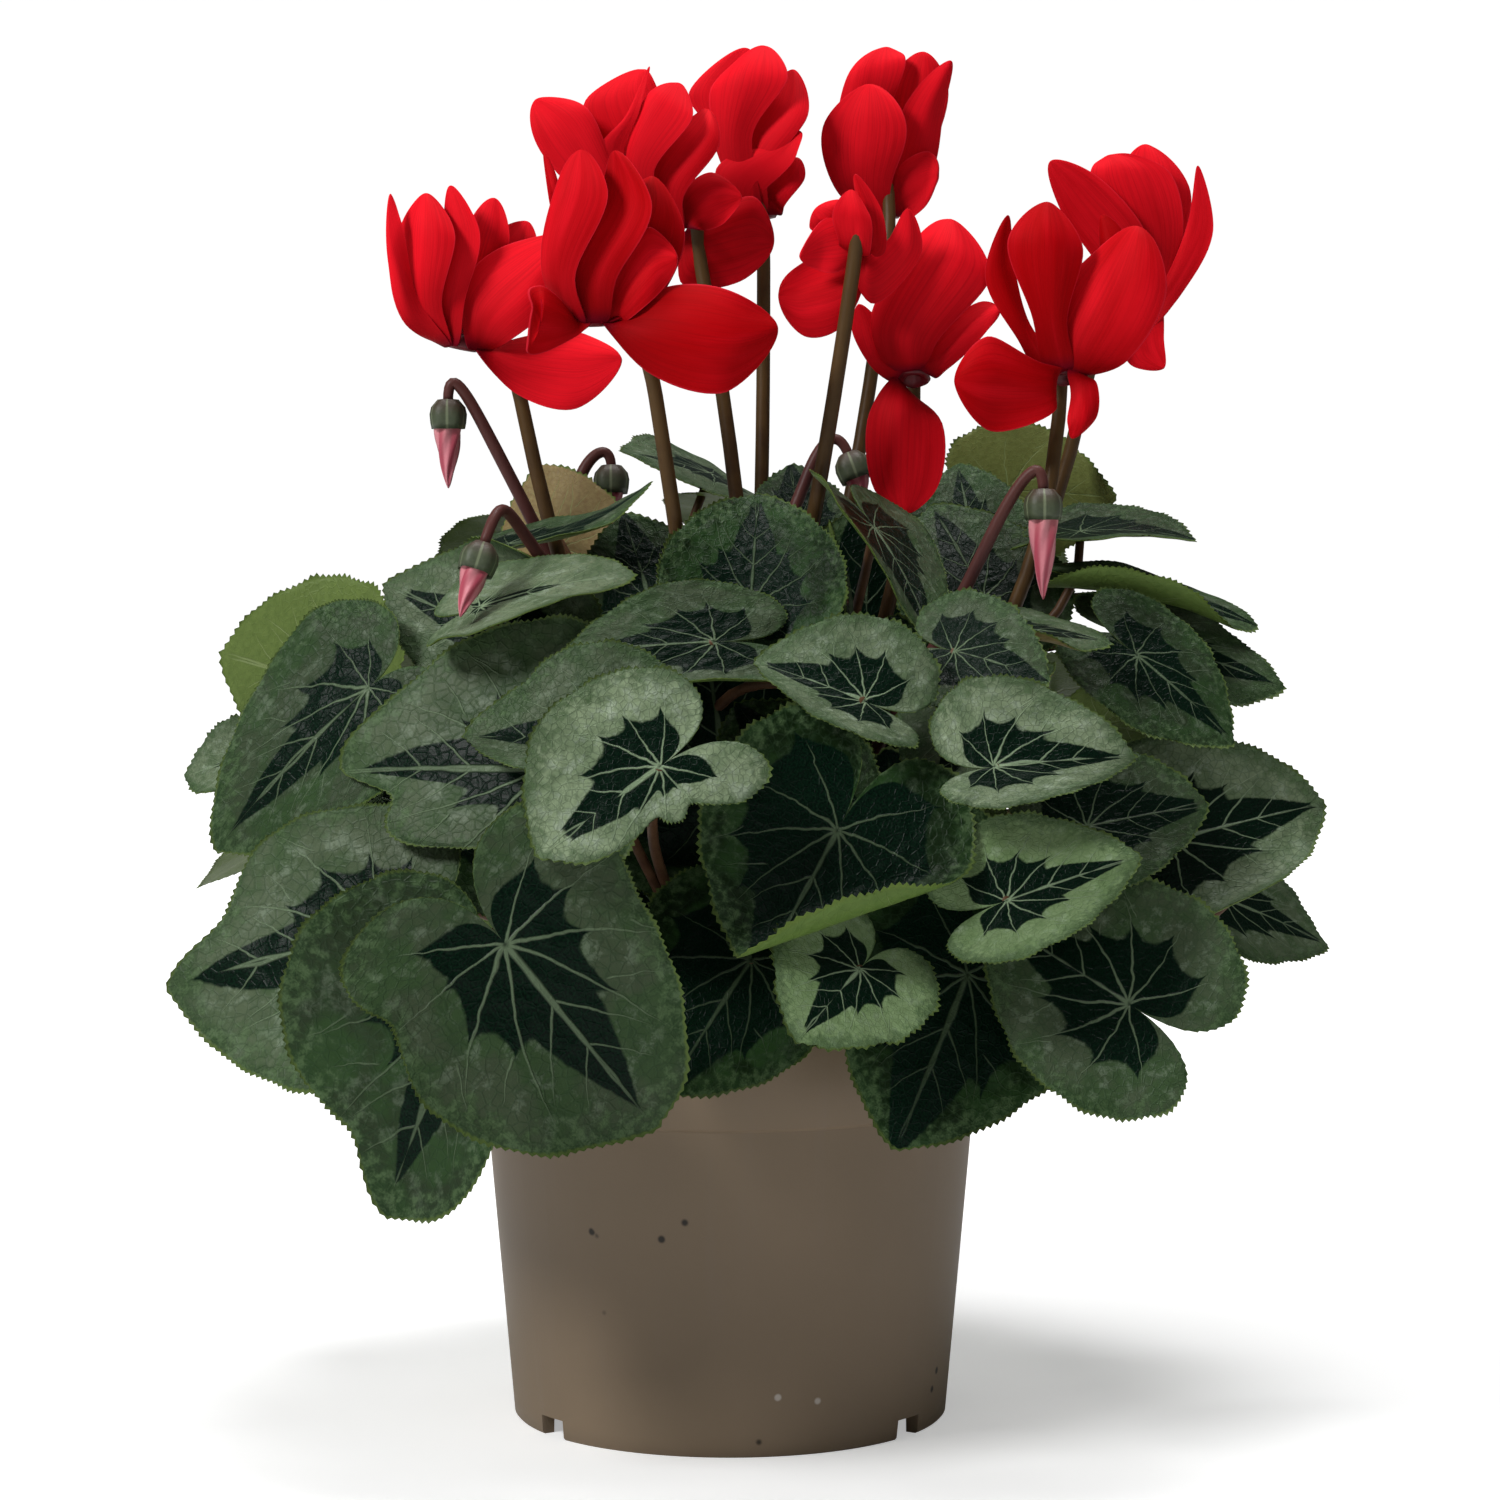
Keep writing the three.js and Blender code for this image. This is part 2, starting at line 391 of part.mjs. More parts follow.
// A closed tube through centre points, with a radius for each.
function tube(centres, radii, sides) {
  const points = [];
  const triangles = [];
  let across = new THREE.Vector3(1, 0, 0);
  centres.forEach((centre, i) => {
    const before = centres[Math.max(i - 1, 0)];
    const after = centres[Math.min(i + 1, centres.length - 1)];
    const along = unit(after.clone().sub(before));
    if (i === 0) along.copy(UP);
    across = unit(across.clone().addScaledVector(along, -across.dot(along)));
    const third = along.clone().cross(across);
    for (let k = 0; k < sides; k++) {
      const angle = (2 * Math.PI * k) / sides;
      points.push(centre.clone()
        .addScaledVector(across, radii[i] * Math.cos(angle))
        .addScaledVector(third, radii[i] * Math.sin(angle)));
    }
  });
  const last = centres.length - 1;
  for (let i = 0; i < last; i++) {
    for (let k = 0; k < sides; k++) {
      const a = i * sides + k;
      const b = i * sides + ((k + 1) % sides);
      triangles.push([a, b, b + sides], [a, b + sides, a + sides]);
    }
  }
  for (let k = 1; k < sides - 1; k++) {
    triangles.push([0, k + 1, k], [last * sides, last * sides + k, last * sides + k + 1]);
  }
  return solidFrom(points, triangles);
}

// ---------- Leaf blades ----------
// Edge of the heart in units of its length, by the angle from the tip: the sinus is at 180 degrees.
// The swells of a leaf, at a heading, by an amount and over a spread, bulge or waist it.
function heartRadius(degrees, swells) {
  const a = Math.abs(degrees);
  const body = HEART.side + HEART.point * Math.exp(-((a / HEART.pointSpread) ** HEART.pointPower));
  const heart = body * (1 - HEART.sinus * Math.exp(-(((180 - a) / HEART.sinusSpread) ** HEART.sinusPower)));
  return heart * swells.reduce((sum, [at, by, spread]) => sum + by * Math.exp(-(((degrees - at) / spread) ** 2)), 1);
}

const arc = (curl, reach) => (Math.abs(curl) < 1e-4 ? reach : Math.sin(curl * reach) / curl);
const rise = (curl, reach) => (Math.abs(curl) < 1e-4 ? 0 : (1 - Math.cos(curl * reach)) / curl);

// A point of the flat leaf, u towards the tip and v to its left, on the shaped leaf: rolled rims first,
// then the halves cupped about the midrib, then the midrib bent.
function shapedPoint(shape, u, v) {
  let along = u < 0 ? u * shape.base : u;
  let across = v * (v > 0 ? shape.wide[0] : shape.wide[1]);
  let lift = shape.wave * (u * u + v * v) * Math.sin(5 * Math.atan2(v, u) + shape.phase);
  for (const [heading, start, curl] of shape.rolls) {
    const c = Math.cos(heading * DEGREE);
    const s = Math.sin(heading * DEGREE);
    const reach = along * c + across * s - start;
    if (reach <= 0) continue;
    const kept = arc(curl, reach) - reach;
    lift += rise(curl, reach);
    along += kept * c;
    across += kept * s;
  }
  const curl = across > 0 ? shape.cup[0] : shape.cup[1];
  const side = arc(curl, across) - lift * Math.sin(curl * across);
  const height = rise(curl, across) + lift * Math.cos(curl * across);
  const angle = shape.bend * along;
  return new THREE.Vector3(
    arc(shape.bend, along) - height * Math.sin(angle),
    side,
    rise(shape.bend, along) + height * Math.cos(angle),
  );
}

// The turn and scale that take the shaped leaf's hub and tip to their places, face towards facing.
function bladePlacer(shape, hub, tip, facing) {
  const chord = shapedPoint(shape, 1, 0);
  const localAlong = unit(chord);
  const localUp = unit(UP.clone().addScaledVector(localAlong, -localAlong.z));
  const localLeft = localUp.clone().cross(localAlong);
  const reach = tip.clone().sub(hub);
  const along = unit(reach);
  const up = unit(facing.clone().addScaledVector(along, -facing.dot(along)));
  const left = up.clone().cross(along);
  const scale = reach.length() / chord.length();
  const turn = new THREE.Matrix4().makeBasis(along, left, up)
    .multiply(new THREE.Matrix4().makeBasis(localAlong, localLeft, localUp).transpose());
  return { scale, place: (p) => p.clone().multiplyScalar(scale).applyMatrix4(turn).add(hub) };
}

// Flat outline points from the hub outwards: the hub, an inner ring and the toothed edge.
function flatPoints(edgePoints, swells) {
  const ring = (count, share, tooth) => Array.from({ length: count }, (_, i) => {
    const degrees = (360 * i) / count - 180;
    const radius = share * heartRadius(degrees, swells) * (1 - (i % 2 ? 0 : tooth));
    return [radius * Math.cos(degrees * DEGREE), radius * Math.sin(degrees * DEGREE)];
  });
  return [[0, 0], ...ring(edgePoints / 2, BLADE.inner, 0), ...ring(edgePoints, 1, BLADE.tooth)];
}

function flatTriangles(edgePoints) {
  const inner = edgePoints / 2;
  const triangles = [];
  for (let i = 0; i < inner; i++) {
    const next = (i + 1) % inner;
    const outer = 1 + inner + 2 * i;
    const outerNext = 1 + inner + ((2 * i + 2) % edgePoints);
    triangles.push([0, 1 + i, 1 + next]);
    triangles.push([1 + i, outer, outer + 1], [1 + i, outer + 1, 1 + next], [1 + next, outer + 1, outerNext]);
  }
  return triangles;
}

function bladeSolid(leaf, thickness) {
  const { place } = bladePlacer(leaf.shape, leaf.hub, leaf.tip, leaf.facing);
  const edgePoints = leaf.hub.distanceTo(leaf.tip) < BLADE.largeFrom ? BLADE.smallPoints : BLADE.largePoints;
  const flat = flatPoints(edgePoints, leaf.shape.swells);
  const step = 0.01;
  const top = [];
  const bottom = [];
  for (const [u, v] of flat) {
    const here = place(shapedPoint(leaf.shape, u, v));
    const ahead = place(shapedPoint(leaf.shape, u + step, v)).sub(here);
    const aside = place(shapedPoint(leaf.shape, u, v + step)).sub(here);
    const normal = ahead.cross(aside).normalize();
    top.push(here.clone().addScaledVector(normal, thickness / 2));
    bottom.push(here.clone().addScaledVector(normal, -thickness / 2));
  }
  const count = flat.length;
  const triangles = flatTriangles(edgePoints).flatMap(([a, b, c]) => [[a, b, c], [a + count, c + count, b + count]]);
  const firstEdge = count - edgePoints;
  for (let i = 0; i < edgePoints; i++) {
    const a = firstEdge + i;
    const b = firstEdge + ((i + 1) % edgePoints);
    triangles.push([a, a + count, b + count], [a, b + count, b]);
  }
  return solidFrom([...top, ...bottom], triangles);
}

// ---------- Petals and blooms ----------
// A petal's closed outline: from one corner of its claw up the side, over the tip and down to the other corner.
function petalOutline(base, mouth, [first, second, tip, third, fourth], [near, end, far]) {
  const at = ([x, z], y) => base.clone().add(vector([x, y, z]));
  const rim = [
    at(first, PETAL.lean * near), at(second, near), at(tip, end), at(third, far), at(fourth, PETAL.lean * far),
  ];
  const out = rim[0].clone().add(rim[4]).multiplyScalar(0.5).sub(base);
  out.addScaledVector(mouth, -out.dot(mouth)).normalize();
  const claw = mouth.clone().cross(out);
  claw.multiplyScalar(PETAL.claw * Math.sign(claw.dot(rim[0].clone().sub(rim[4]))));
  const root = base.clone().addScaledVector(out, PETAL.from).addScaledVector(mouth, PETAL.drop);
  return new THREE.CatmullRomCurve3([root.clone().add(claw), ...rim, root.sub(claw)], true, 'centripetal');
}

// A petal is spread between the two sides of its outline and bulges between them.
function petalSolid(outline) {
  const spans = outline.points.length;
  const side = (share, k) => outline.getPoint(k ? (spans - 1 - 3 * share) / spans : (3 * share) / spans);
  const middle = (share) => side(share, 0).add(side(share, 1)).multiplyScalar(0.5);
  const rows = PETAL.stations.map((s) => {
    const [first, last] = [side(s, 0), side(s, 1)];
    const across = last.clone().sub(first);
    const normal = unit(across.clone().cross(middle(s + 0.02).sub(middle(s))));
    const bulged = middle(s).addScaledVector(normal, (PETAL.dish * across.length()) / 2);
    return [first, bulged, last].map((at) => ({ at, normal }));
  });
  const all = [...rows.flat(), { at: side(1, 0), normal: rows[rows.length - 1][0].normal }];
  const count = all.length;
  const faces = [];
  for (let i = 0; i < rows.length - 1; i++) {
    for (let k = 0; k < 2; k++) {
      const a = 3 * i + k;
      faces.push([a, a + 1, a + 4], [a, a + 4, a + 3]);
    }
  }
  const tip = count - 1;
  faces.push([tip - 3, tip - 2, tip], [tip - 2, tip - 1, tip]);
  const up = rows.map((_, i) => 3 * i);
  const down = rows.map((_, i) => 3 * i + 2).reverse();
  const edge = [...down, 1, ...up, tip];
  const triangles = faces.flatMap(([a, b, c]) => [[a, b, c], [a + count, c + count, b + count]]);
  edge.forEach((a, i) => {
    const b = edge[(i + 1) % edge.length];
    triangles.push([a, b, b + count], [a, b + count, a + count]);
  });
  const points = [
    ...all.map(({ at, normal }) => at.clone().addScaledVector(normal, PETAL.thickness / 2)),
    ...all.map(({ at, normal }) => at.clone().addScaledVector(normal, -PETAL.thickness / 2)),
  ];
  return solidFrom(points, triangles);
}

// The ring that the petals grow from, with the mouth sunk in it.
function mouthRing(base, mouth) {
  const ring = new THREE.LatheGeometry(MOUTH.profile.map(([r, h]) => new THREE.Vector2(r, h)), MOUTH.sides);
  const turn = new THREE.Quaternion().setFromUnitVectors(new THREE.Vector3(0, -1, 0), mouth);
  ring.applyQuaternion(turn).translate(base.x, base.y, base.z);
  return solidFromGeometry(ring);
}

// ---------- The stems' places on the corm: a sunflower spiral of roots ----------
const stemCount = BLOOMS.length + BUDS.length + LEAF_ROOTS.count;
const roots = Array.from({ length: stemCount }, (_, i) => {
  const radius = ROOT.spread * Math.sqrt((i + 0.5) / stemCount);
  const angle = i * ROOT.turn * DEGREE;
  return { x: radius * Math.cos(angle), y: radius * Math.sin(angle), taken: 0 };
});

function cormTop(x, y) {
  const share = Math.hypot(x, y) / CORM.radius;
  return CORM.centre + (CORM.height / 2) * Math.sqrt(1 - share * share);
}

// Free roots, the one nearest to where a straight line from the corm to the goal would leave it first.
function freeRoots(goal, most, among) {
  const away = Math.hypot(goal.x, goal.y);
  const lean = Math.min(1, away / (1.1 * Math.max(goal.z - CORM.centre, 20)));
  const wish = { x: (goal.x / (away + 1e-6)) * lean * ROOT.spread, y: (goal.y / (away + 1e-6)) * lean * ROOT.spread };
  const free = among.filter((root) => root.taken < most);
  const cost = (root) => Math.hypot(root.x - wish.x, root.y - wish.y);
  return free.sort((a, b) => cost(a) - cost(b));
}

function rootFoot(root) {
  return new THREE.Vector3(root.x, root.y, cormTop(root.x, root.y) - ROOT.depth + 0.3);
}

// ---------- Placing ----------
const placed = [];

function boxesMeet(a, b) {
  return [0, 1, 2].every((k) => a.min[k] <= b.max[k] && b.min[k] <= a.max[k]);
}

// Volume that a solid shares with those already placed, apart from those it may touch.
function overlap(solid, allowed = []) {
  const box = solid.boundingBox();
  let sum = 0;
  for (const other of placed) {
    if (allowed.includes(other.owner) || !boxesMeet(box, other.box)) continue;
    sum += solid.intersect(other.solid).volume();
  }
  return sum;
}

function settle(owner, solid) {
  placed.push({ owner, solid, box: solid.boundingBox() });
}

// Flower stem: from the root up to the straight stretch, then over its hook to the end, which it meets heading.
function stemTube(root, low, high, end, heading, extra, swing) {
  const foot = rootFoot(root);
  const straight = unit(high.clone().sub(low));
  const first = [
    foot,
    foot.clone().addScaledVector(UP, 0.35 * (high.z - foot.z)).add(new THREE.Vector3(...swing, 0)),
    high.clone().addScaledVector(straight, -0.55 * high.distanceTo(foot)),
    high,
  ];
  const bow = 0.6 * high.distanceTo(end) + 2;
  const hook = [high, high.clone().addScaledVector(straight, bow), end.clone().addScaledVector(heading, -bow), end];
  const centres = [
    foot,
    foot.clone().addScaledVector(UP, ROOT.depth),
    ...curvePoints(first, STEM.steps),
    ...curvePoints(hook, STEM.hookSteps),
  ];
  const last = centres.length - 1;
  const radii = centres.map((_, i) => extra + (i <= STEM.steps + 1
    ? THREE.MathUtils.lerp(STEM.base, STEM.top, i / (STEM.steps + 1))
    : THREE.MathUtils.lerp(STEM.top, STEM.hook, (i - STEM.steps - 1) / (last - STEM.steps - 1))));
  return tube(centres, radii, STEM.sides);
}

const nodes = new Map();
function addNode(name, solid, material) {
  nodes.set(name, { solid, material });
  if (!name.startsWith('leaves')) settle(name, solid);
}

const taupePot = new THREE.MeshStandardMaterial({ color: 0x6b5f52, roughness: 0.6, metalness: 0 });
const darkPeat = new THREE.MeshStandardMaterial({ color: 0x2c1f17, roughness: 0.95, metalness: 0 });
const brownCorm = new THREE.MeshStandardMaterial({ color: 0x5b4433, roughness: 0.9, metalness: 0 });
const redPetal = new THREE.MeshStandardMaterial({ color: 0xc8141e, roughness: 0.55, metalness: 0 });
const brownStem = new THREE.MeshStandardMaterial({ color: 0x5a4028, roughness: 0.6, metalness: 0 });
const pinkBud = new THREE.MeshStandardMaterial({ color: 0xe0657a, roughness: 0.5, metalness: 0 });
const greenLeaf = new THREE.MeshStandardMaterial({ color: 0x4a6b50, roughness: 0.6, metalness: 0 });

const stemJobs = BLOOMS.map((bloom, i) => {
  const base = vector(bloom.base);
  const mouth = unit(vector(bloom.mouth));
  const [low, high] = bloom.stem.map(vector);
  return { name: `bloom_${i + 1}`, base, mouth, low, high, bloom };
});
const budJobs = BUDS.map((bud, i) => (
  { name: `bud_${i + 1}`, bud, low: vector(bud.rise), calyx: vector(bud.calyx) }
));
for (const job of [...stemJobs, ...budJobs]) {
  [job.root] = freeRoots(job.low, 1, roots);
  job.root.taken = 1;
}

// Sideways swings, right and away, that a stem's lower half is tried with until it is clear.
const SWINGS = [0, 7, 14, 22, 32].flatMap((reach) => Array.from({ length: 8 }, (_, k) => [
  reach * Math.cos(k * 45 * DEGREE), reach * Math.sin(k * 45 * DEGREE),
]));

function clearSwing(stemWith) {
  const shared = SWINGS.map((swing) => overlap(stemWith(swing)));
  return SWINGS[shared.indexOf(Math.min(...shared))];
}

// Blooms: petals and mouth ring in one body, cleared round the stem that hooks over into it.
addNode('pot', potSolid(), taupePot);
addNode('soil', soilSolid(), darkPeat);
for (const { name, base, mouth, low, high, bloom, root } of stemJobs) {
  const end = base.clone().addScaledVector(mouth, -MOUTH.stemSeat);
  const swing = clearSwing((way) => stemTube(root, low, high, end, mouth, STEM.clear, way));
  const stem = stemTube(root, low, high, end, mouth, 0, swing);
  const sleeve = stemTube(root, low, high, end, mouth, STEM.clear, swing);
  const body = bloom.petals.reduce(
    (sum, petal) => sum.add(petalSolid(petalOutline(base, mouth, petal.slice(0, 5), petal[5]))),
    mouthRing(base, mouth),
  );
  addNode(`${name}_stem`, stem, brownStem);
  addNode(`${name}_petals`, mainBody(body.subtract(sleeve)), redPetal);
}

// Buds: a twisted cone of folded petals that hangs out of a calyx on its hooked stem.
function budCone(calyx, heading, length) {
  const sides = BUD.sides;
  const across = unit(new THREE.Vector3(0, 1, 0).addScaledVector(heading, -heading.y));
  const third = heading.clone().cross(across);
  const points = BUD.profile.flatMap(([share, wide]) => Array.from({ length: sides }, (_, k) => {
    const angle = (2 * Math.PI * k) / sides + BUD.twist * share;
    const radius = BUD.radius * wide * (k % 2 ? 1 : BUD.groove);
    return calyx.clone().addScaledVector(heading, share * length)
      .addScaledVector(across, radius * Math.cos(angle))
      .addScaledVector(third, radius * Math.sin(angle));
  }));
  points.push(calyx.clone().addScaledVector(heading, 0.02 * length), calyx.clone().addScaledVector(heading, length));
  const top = points.length - 2;
  const tip = points.length - 1;
  const triangles = [];
  for (let k = 0; k < sides; k++) {
    const next = (k + 1) % sides;
    triangles.push([top, next, k], [tip, top - sides + k, top - sides + next]);
    for (let i = 0; i < BUD.profile.length - 1; i++) {
      const a = i * sides + k;
      const b = i * sides + next;
      triangles.push([a, b, b + sides], [a, b + sides, a + sides]);
    }
  }
  return solidFrom(points, triangles);
}

// The calyx is a cup open towards the bud.
function calyxCup(calyx, heading) {
  const cup = new THREE.LatheGeometry(CALYX.profile.map(([r, h]) => new THREE.Vector2(r, h)), BUD.sides);
  const turn = new THREE.Quaternion().setFromUnitVectors(new THREE.Vector3(0, -1, 0), heading);
  cup.applyQuaternion(turn).translate(calyx.x, calyx.y, calyx.z);
  return solidFromGeometry(cup);
}

for (const { name, bud, low, calyx, root } of budJobs) {
  const reach = vector(bud.tip).sub(calyx);
  const heading = unit(reach);
  const end = calyx.clone().addScaledVector(heading, -CALYX.seat);
  const high = low.clone().lerp(vector(bud.hook), BUD.straightShare);
  const swing = clearSwing((way) => stemTube(root, low, high, end, heading, STEM.clear, way));
  const stem = stemTube(root, low, high, end, heading, -0.3, swing);
  addNode(`${name}_stem`, mainBody(stem.add(calyxCup(calyx, heading))), brownStem);
  const top = calyx.clone().addScaledVector(heading, CALYX.budSeat);
  addNode(`${name}_petals`, budCone(top, heading, reach.length()), pinkBud);
}

// ---------- Leaves in place ----------
const SHAPE = { cup: [0.25, 0.25], bend: -0.25, wave: 0.034, phase: 0, rolls: [], swells: [], wide: [1, 1], base: 1 };
const leafRoots = roots.filter((root) => root.taken === 0);

// Steps forward are tried first, with a shorter step back between them.
const PUSH_ORDER = Array.from({ length: PUSH.most }, (_, i) => [i, -i / 2 - 0.5]).flat();

// Each blade moves along its way out, viewer's side forwards and the rest outwards, until it is clear.
const leaves = LEAVES.map(([name, hub, tip, facing, shape], i) => {
  const leaf = {
    name, hub: vector(hub), tip: vector(tip), facing: vector(facing), shape: { ...SHAPE, phase: i, ...shape },
  };
  const wayOut = hub[1] < 30 ? TO_VIEWER : unit(new THREE.Vector3(hub[0], hub[1], 20));
  let least = Infinity;
  let best = leaf;
  for (const steps of PUSH_ORDER) {
    const moved = {
      ...leaf,
      hub: leaf.hub.clone().addScaledVector(wayOut, steps * PUSH.step),
      tip: leaf.tip.clone().addScaledVector(wayOut, steps * PUSH.step),
    };
    const shared = overlap(bladeSolid(moved, BLADE.thickness + PUSH.clear));
    if (shared < least) {
      least = shared;
      best = moved;
    }
    if (shared === 0) break;
  }
  best.blade = bladeSolid(best, BLADE.thickness);
  settle(name, best.blade);
  return best;
});

// Petiole routes that are tried in turn: how far it swings to the side on its way, how far it runs upright
// from its root and square to the blade, and how far it drops below the blade before it turns up to it.
const ROUTES = [];
for (const swing of [0, 8, -8, 16, -16, 26, -26, 38, -38, 52, -52]) {
  for (const upright of [0.35, 0.6, 0.2, 0.85]) {
    for (const square of [0.3, 0.15, 0.5]) {
      for (const drop of [4, 20, -10]) ROUTES.push({ swing, upright, square, drop });
    }
  }
}

function petioleControls(leaf, root, route) {
  const foot = rootFoot(root);
  const { place } = bladePlacer(leaf.shape, leaf.hub, leaf.tip, leaf.facing);
  const up = place(UP).sub(leaf.hub).normalize();
  const hub = leaf.hub.clone().addScaledVector(up, -0.1);
  const reach = hub.distanceTo(foot);
  const sideways = unit(new THREE.Vector3(foot.y - hub.y, hub.x - foot.x, 0));
  return [
    foot,
    foot.clone().addScaledVector(UP, route.upright * reach).addScaledVector(sideways, route.swing),
    hub.clone().addScaledVector(up, -route.square * reach).addScaledVector(sideways, route.swing / 2)
      .addScaledVector(UP, -route.drop),
    hub,
  ];
}

function petioleTube(leaf, root, route, extra) {
  const controls = petioleControls(leaf, root, route);
  const centres = [
    controls[0], controls[0].clone().addScaledVector(UP, ROOT.depth), ...curvePoints(controls, PETIOLE.steps),
  ];
  const last = centres.length - 1;
  const radii = centres.map((_, i) => extra + THREE.MathUtils.lerp(PETIOLE.base, PETIOLE.top, i / last));
  return tube(centres, radii, PETIOLE.sides);
}

// The outer leaves, whose petioles are in view, take theirs first.
for (const leaf of [...leaves].reverse()) {
  let least = Infinity;
  for (const root of freeRoots(leaf.hub, LEAF_ROOTS.leavesEach, leafRoots).slice(0, ROOT.tried)) {
    const mates = leaves.filter((other) => other.root === root && other !== leaf).map((other) => other.name);
    for (const route of ROUTES) {
      const shared = overlap(petioleTube(leaf, root, route, PETIOLE.clear), [leaf.name, ...mates]);
      if (shared < least) {
        least = shared;
        leaf.route = route;
        leaf.nextRoot = root;
      }
      if (shared === 0) break;
    }
    if (least === 0) break;
  }
  leaf.root = leaf.nextRoot;
  leaf.root.taken += 1;
  leaf.petiole = petioleTube(leaf, leaf.root, leaf.route, 0);
  settle(leaf.name, leaf.petiole);
}

// Leaves that share a root are one body, and so are those few whose petioles cross whatever their route.
function wholeLeaves(list) {
  return mainBody(list.slice(1).reduce((sum, leaf) => sum.add(leaf.whole), list[0].whole));
}
leaves.forEach((leaf) => { leaf.whole = leaf.blade.add(leaf.petiole); });
const clumps = leafRoots.map((root) => leaves.filter((leaf) => leaf.root === root)).filter((list) => list.length);
for (let i = clumps.length - 1; i > 0; i--) {
  const mine = wholeLeaves(clumps[i]);
  const met = clumps.findIndex((other, k) => k < i && mine.intersect(wholeLeaves(other)).volume() > 0);
  if (met < 0) continue;
  clumps[met].push(...clumps[i]);
  clumps.splice(i, 1);
}
clumps.forEach((list, i) => addNode(`leaves_${String(i + 1).padStart(2, '0')}`, wholeLeaves(list), greenLeaf));

// Each root's hole in the corm is a little wider than the stem that stands in it.
const corm = roots.filter((root) => root.taken).reduce((solid, root) => {
  const stem = leafRoots.includes(root) ? PETIOLE.base : STEM.base;
  const radius = (stem + ROOT.hole) / Math.cos(Math.PI / ROOT.holeSides);
  const from = rootFoot(root).z - ROOT.hole;
  return solid.subtract(cylinder(root.x, root.y, from, CORM.centre + CORM.height, radius, ROOT.holeSides));
}, cormSolid(0));
addNode('corm', mainBody(corm), brownCorm);

const group = new THREE.Group();
const whole = new THREE.Box3();
for (const [name, { solid, material }] of nodes) {
  const mesh = new THREE.Mesh(geometryFrom(solid), material);
  mesh.name = name;
  group.add(mesh);
  whole.expandByObject(mesh);
}

// The frame's origin is under the middle of the whole plant, so the pot stands a little to one side of it.
const middle = whole.getCenter(new THREE.Vector3());
group.position.set(-middle.x, -middle.y, 0);

export default group;
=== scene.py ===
"""Looks of a potted cyclamen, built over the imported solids: pot, peat, corm, leaves, blooms and buds.

Lengths are millimetres up to the moment a mesh is made. The tables give places from the pot's axis, as the
solids' source does.
"""

import math

import bpy
import numpy as np
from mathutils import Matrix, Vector, kdtree


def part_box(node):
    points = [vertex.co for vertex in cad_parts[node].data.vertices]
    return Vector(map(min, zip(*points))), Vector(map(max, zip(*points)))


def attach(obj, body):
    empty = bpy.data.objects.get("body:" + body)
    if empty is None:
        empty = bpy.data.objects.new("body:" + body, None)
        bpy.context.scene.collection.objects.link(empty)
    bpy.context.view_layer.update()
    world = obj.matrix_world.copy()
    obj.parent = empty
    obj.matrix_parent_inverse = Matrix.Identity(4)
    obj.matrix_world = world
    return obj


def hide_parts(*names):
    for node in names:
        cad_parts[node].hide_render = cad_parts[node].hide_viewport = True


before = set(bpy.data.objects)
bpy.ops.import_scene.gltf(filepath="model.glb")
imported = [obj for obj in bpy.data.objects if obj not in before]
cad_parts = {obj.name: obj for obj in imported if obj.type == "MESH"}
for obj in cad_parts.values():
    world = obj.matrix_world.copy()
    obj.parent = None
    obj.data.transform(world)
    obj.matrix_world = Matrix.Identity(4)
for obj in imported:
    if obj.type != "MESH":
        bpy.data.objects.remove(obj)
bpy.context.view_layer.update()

# ---------- Dimensions shared with the solids ----------
POT = {"height": 112, "foot": 56, "waist": 61.4, "waist_height": 61, "shoulder": 63.2, "rim": 66, "wall": 1.6}
RIM_BAND = {"from": 82, "step": 0.9}
POT_FLOOR = {"from": 5.5, "to": 7.5}
FOOT = {"ring": 3.2, "notch_height": 5, "notch_width": 9, "notch_angles": (53, 127, 233, 307)}
SOIL = {"top": 101, "clearance": 0.4}
CORM = {"radius": 28, "height": 26, "centre": 97}
ROOT = {"depth": 5, "spread": 23.5, "count": 43, "turn": 137.508}
PETIOLE = {"base": 1.8, "top": 1.3, "sides": 3}
STEM = {"base": 2.3, "top": 1.9, "hook": 1.6, "sides": 4, "bud": -0.3}
BLADE = {
    "thickness": 0.8, "large_points": 16, "small_points": 12, "large_from": 27, "tooth": 0.03, "inner": 0.52,
}
PETAL = {"from": 4, "claw": 3.1, "drop": 1, "lean": 0.7, "dish": 0.22}
MOUTH_SEAT = 3.1
CALYX_SEAT = 0.6
PUSH_STEP = 1.2
PUSHES = [k for i in range(24) for k in (i, -i / 2 - 0.5)]
STEPS = np.arange(1, 5) / 4
SHAPE = {
    "cup": (0.25, 0.25), "bend": -0.25, "wave": 0.034, "rolls": (), "swells": (), "wide": (1, 1), "base": 1,
}
UP, BACK = np.array([0.0, 0.0, 1.0]), np.array([0.0, 1.0, 0.0])
PLAIN, WHITE = (0, 0, 0), (1, 1, 1, 1)

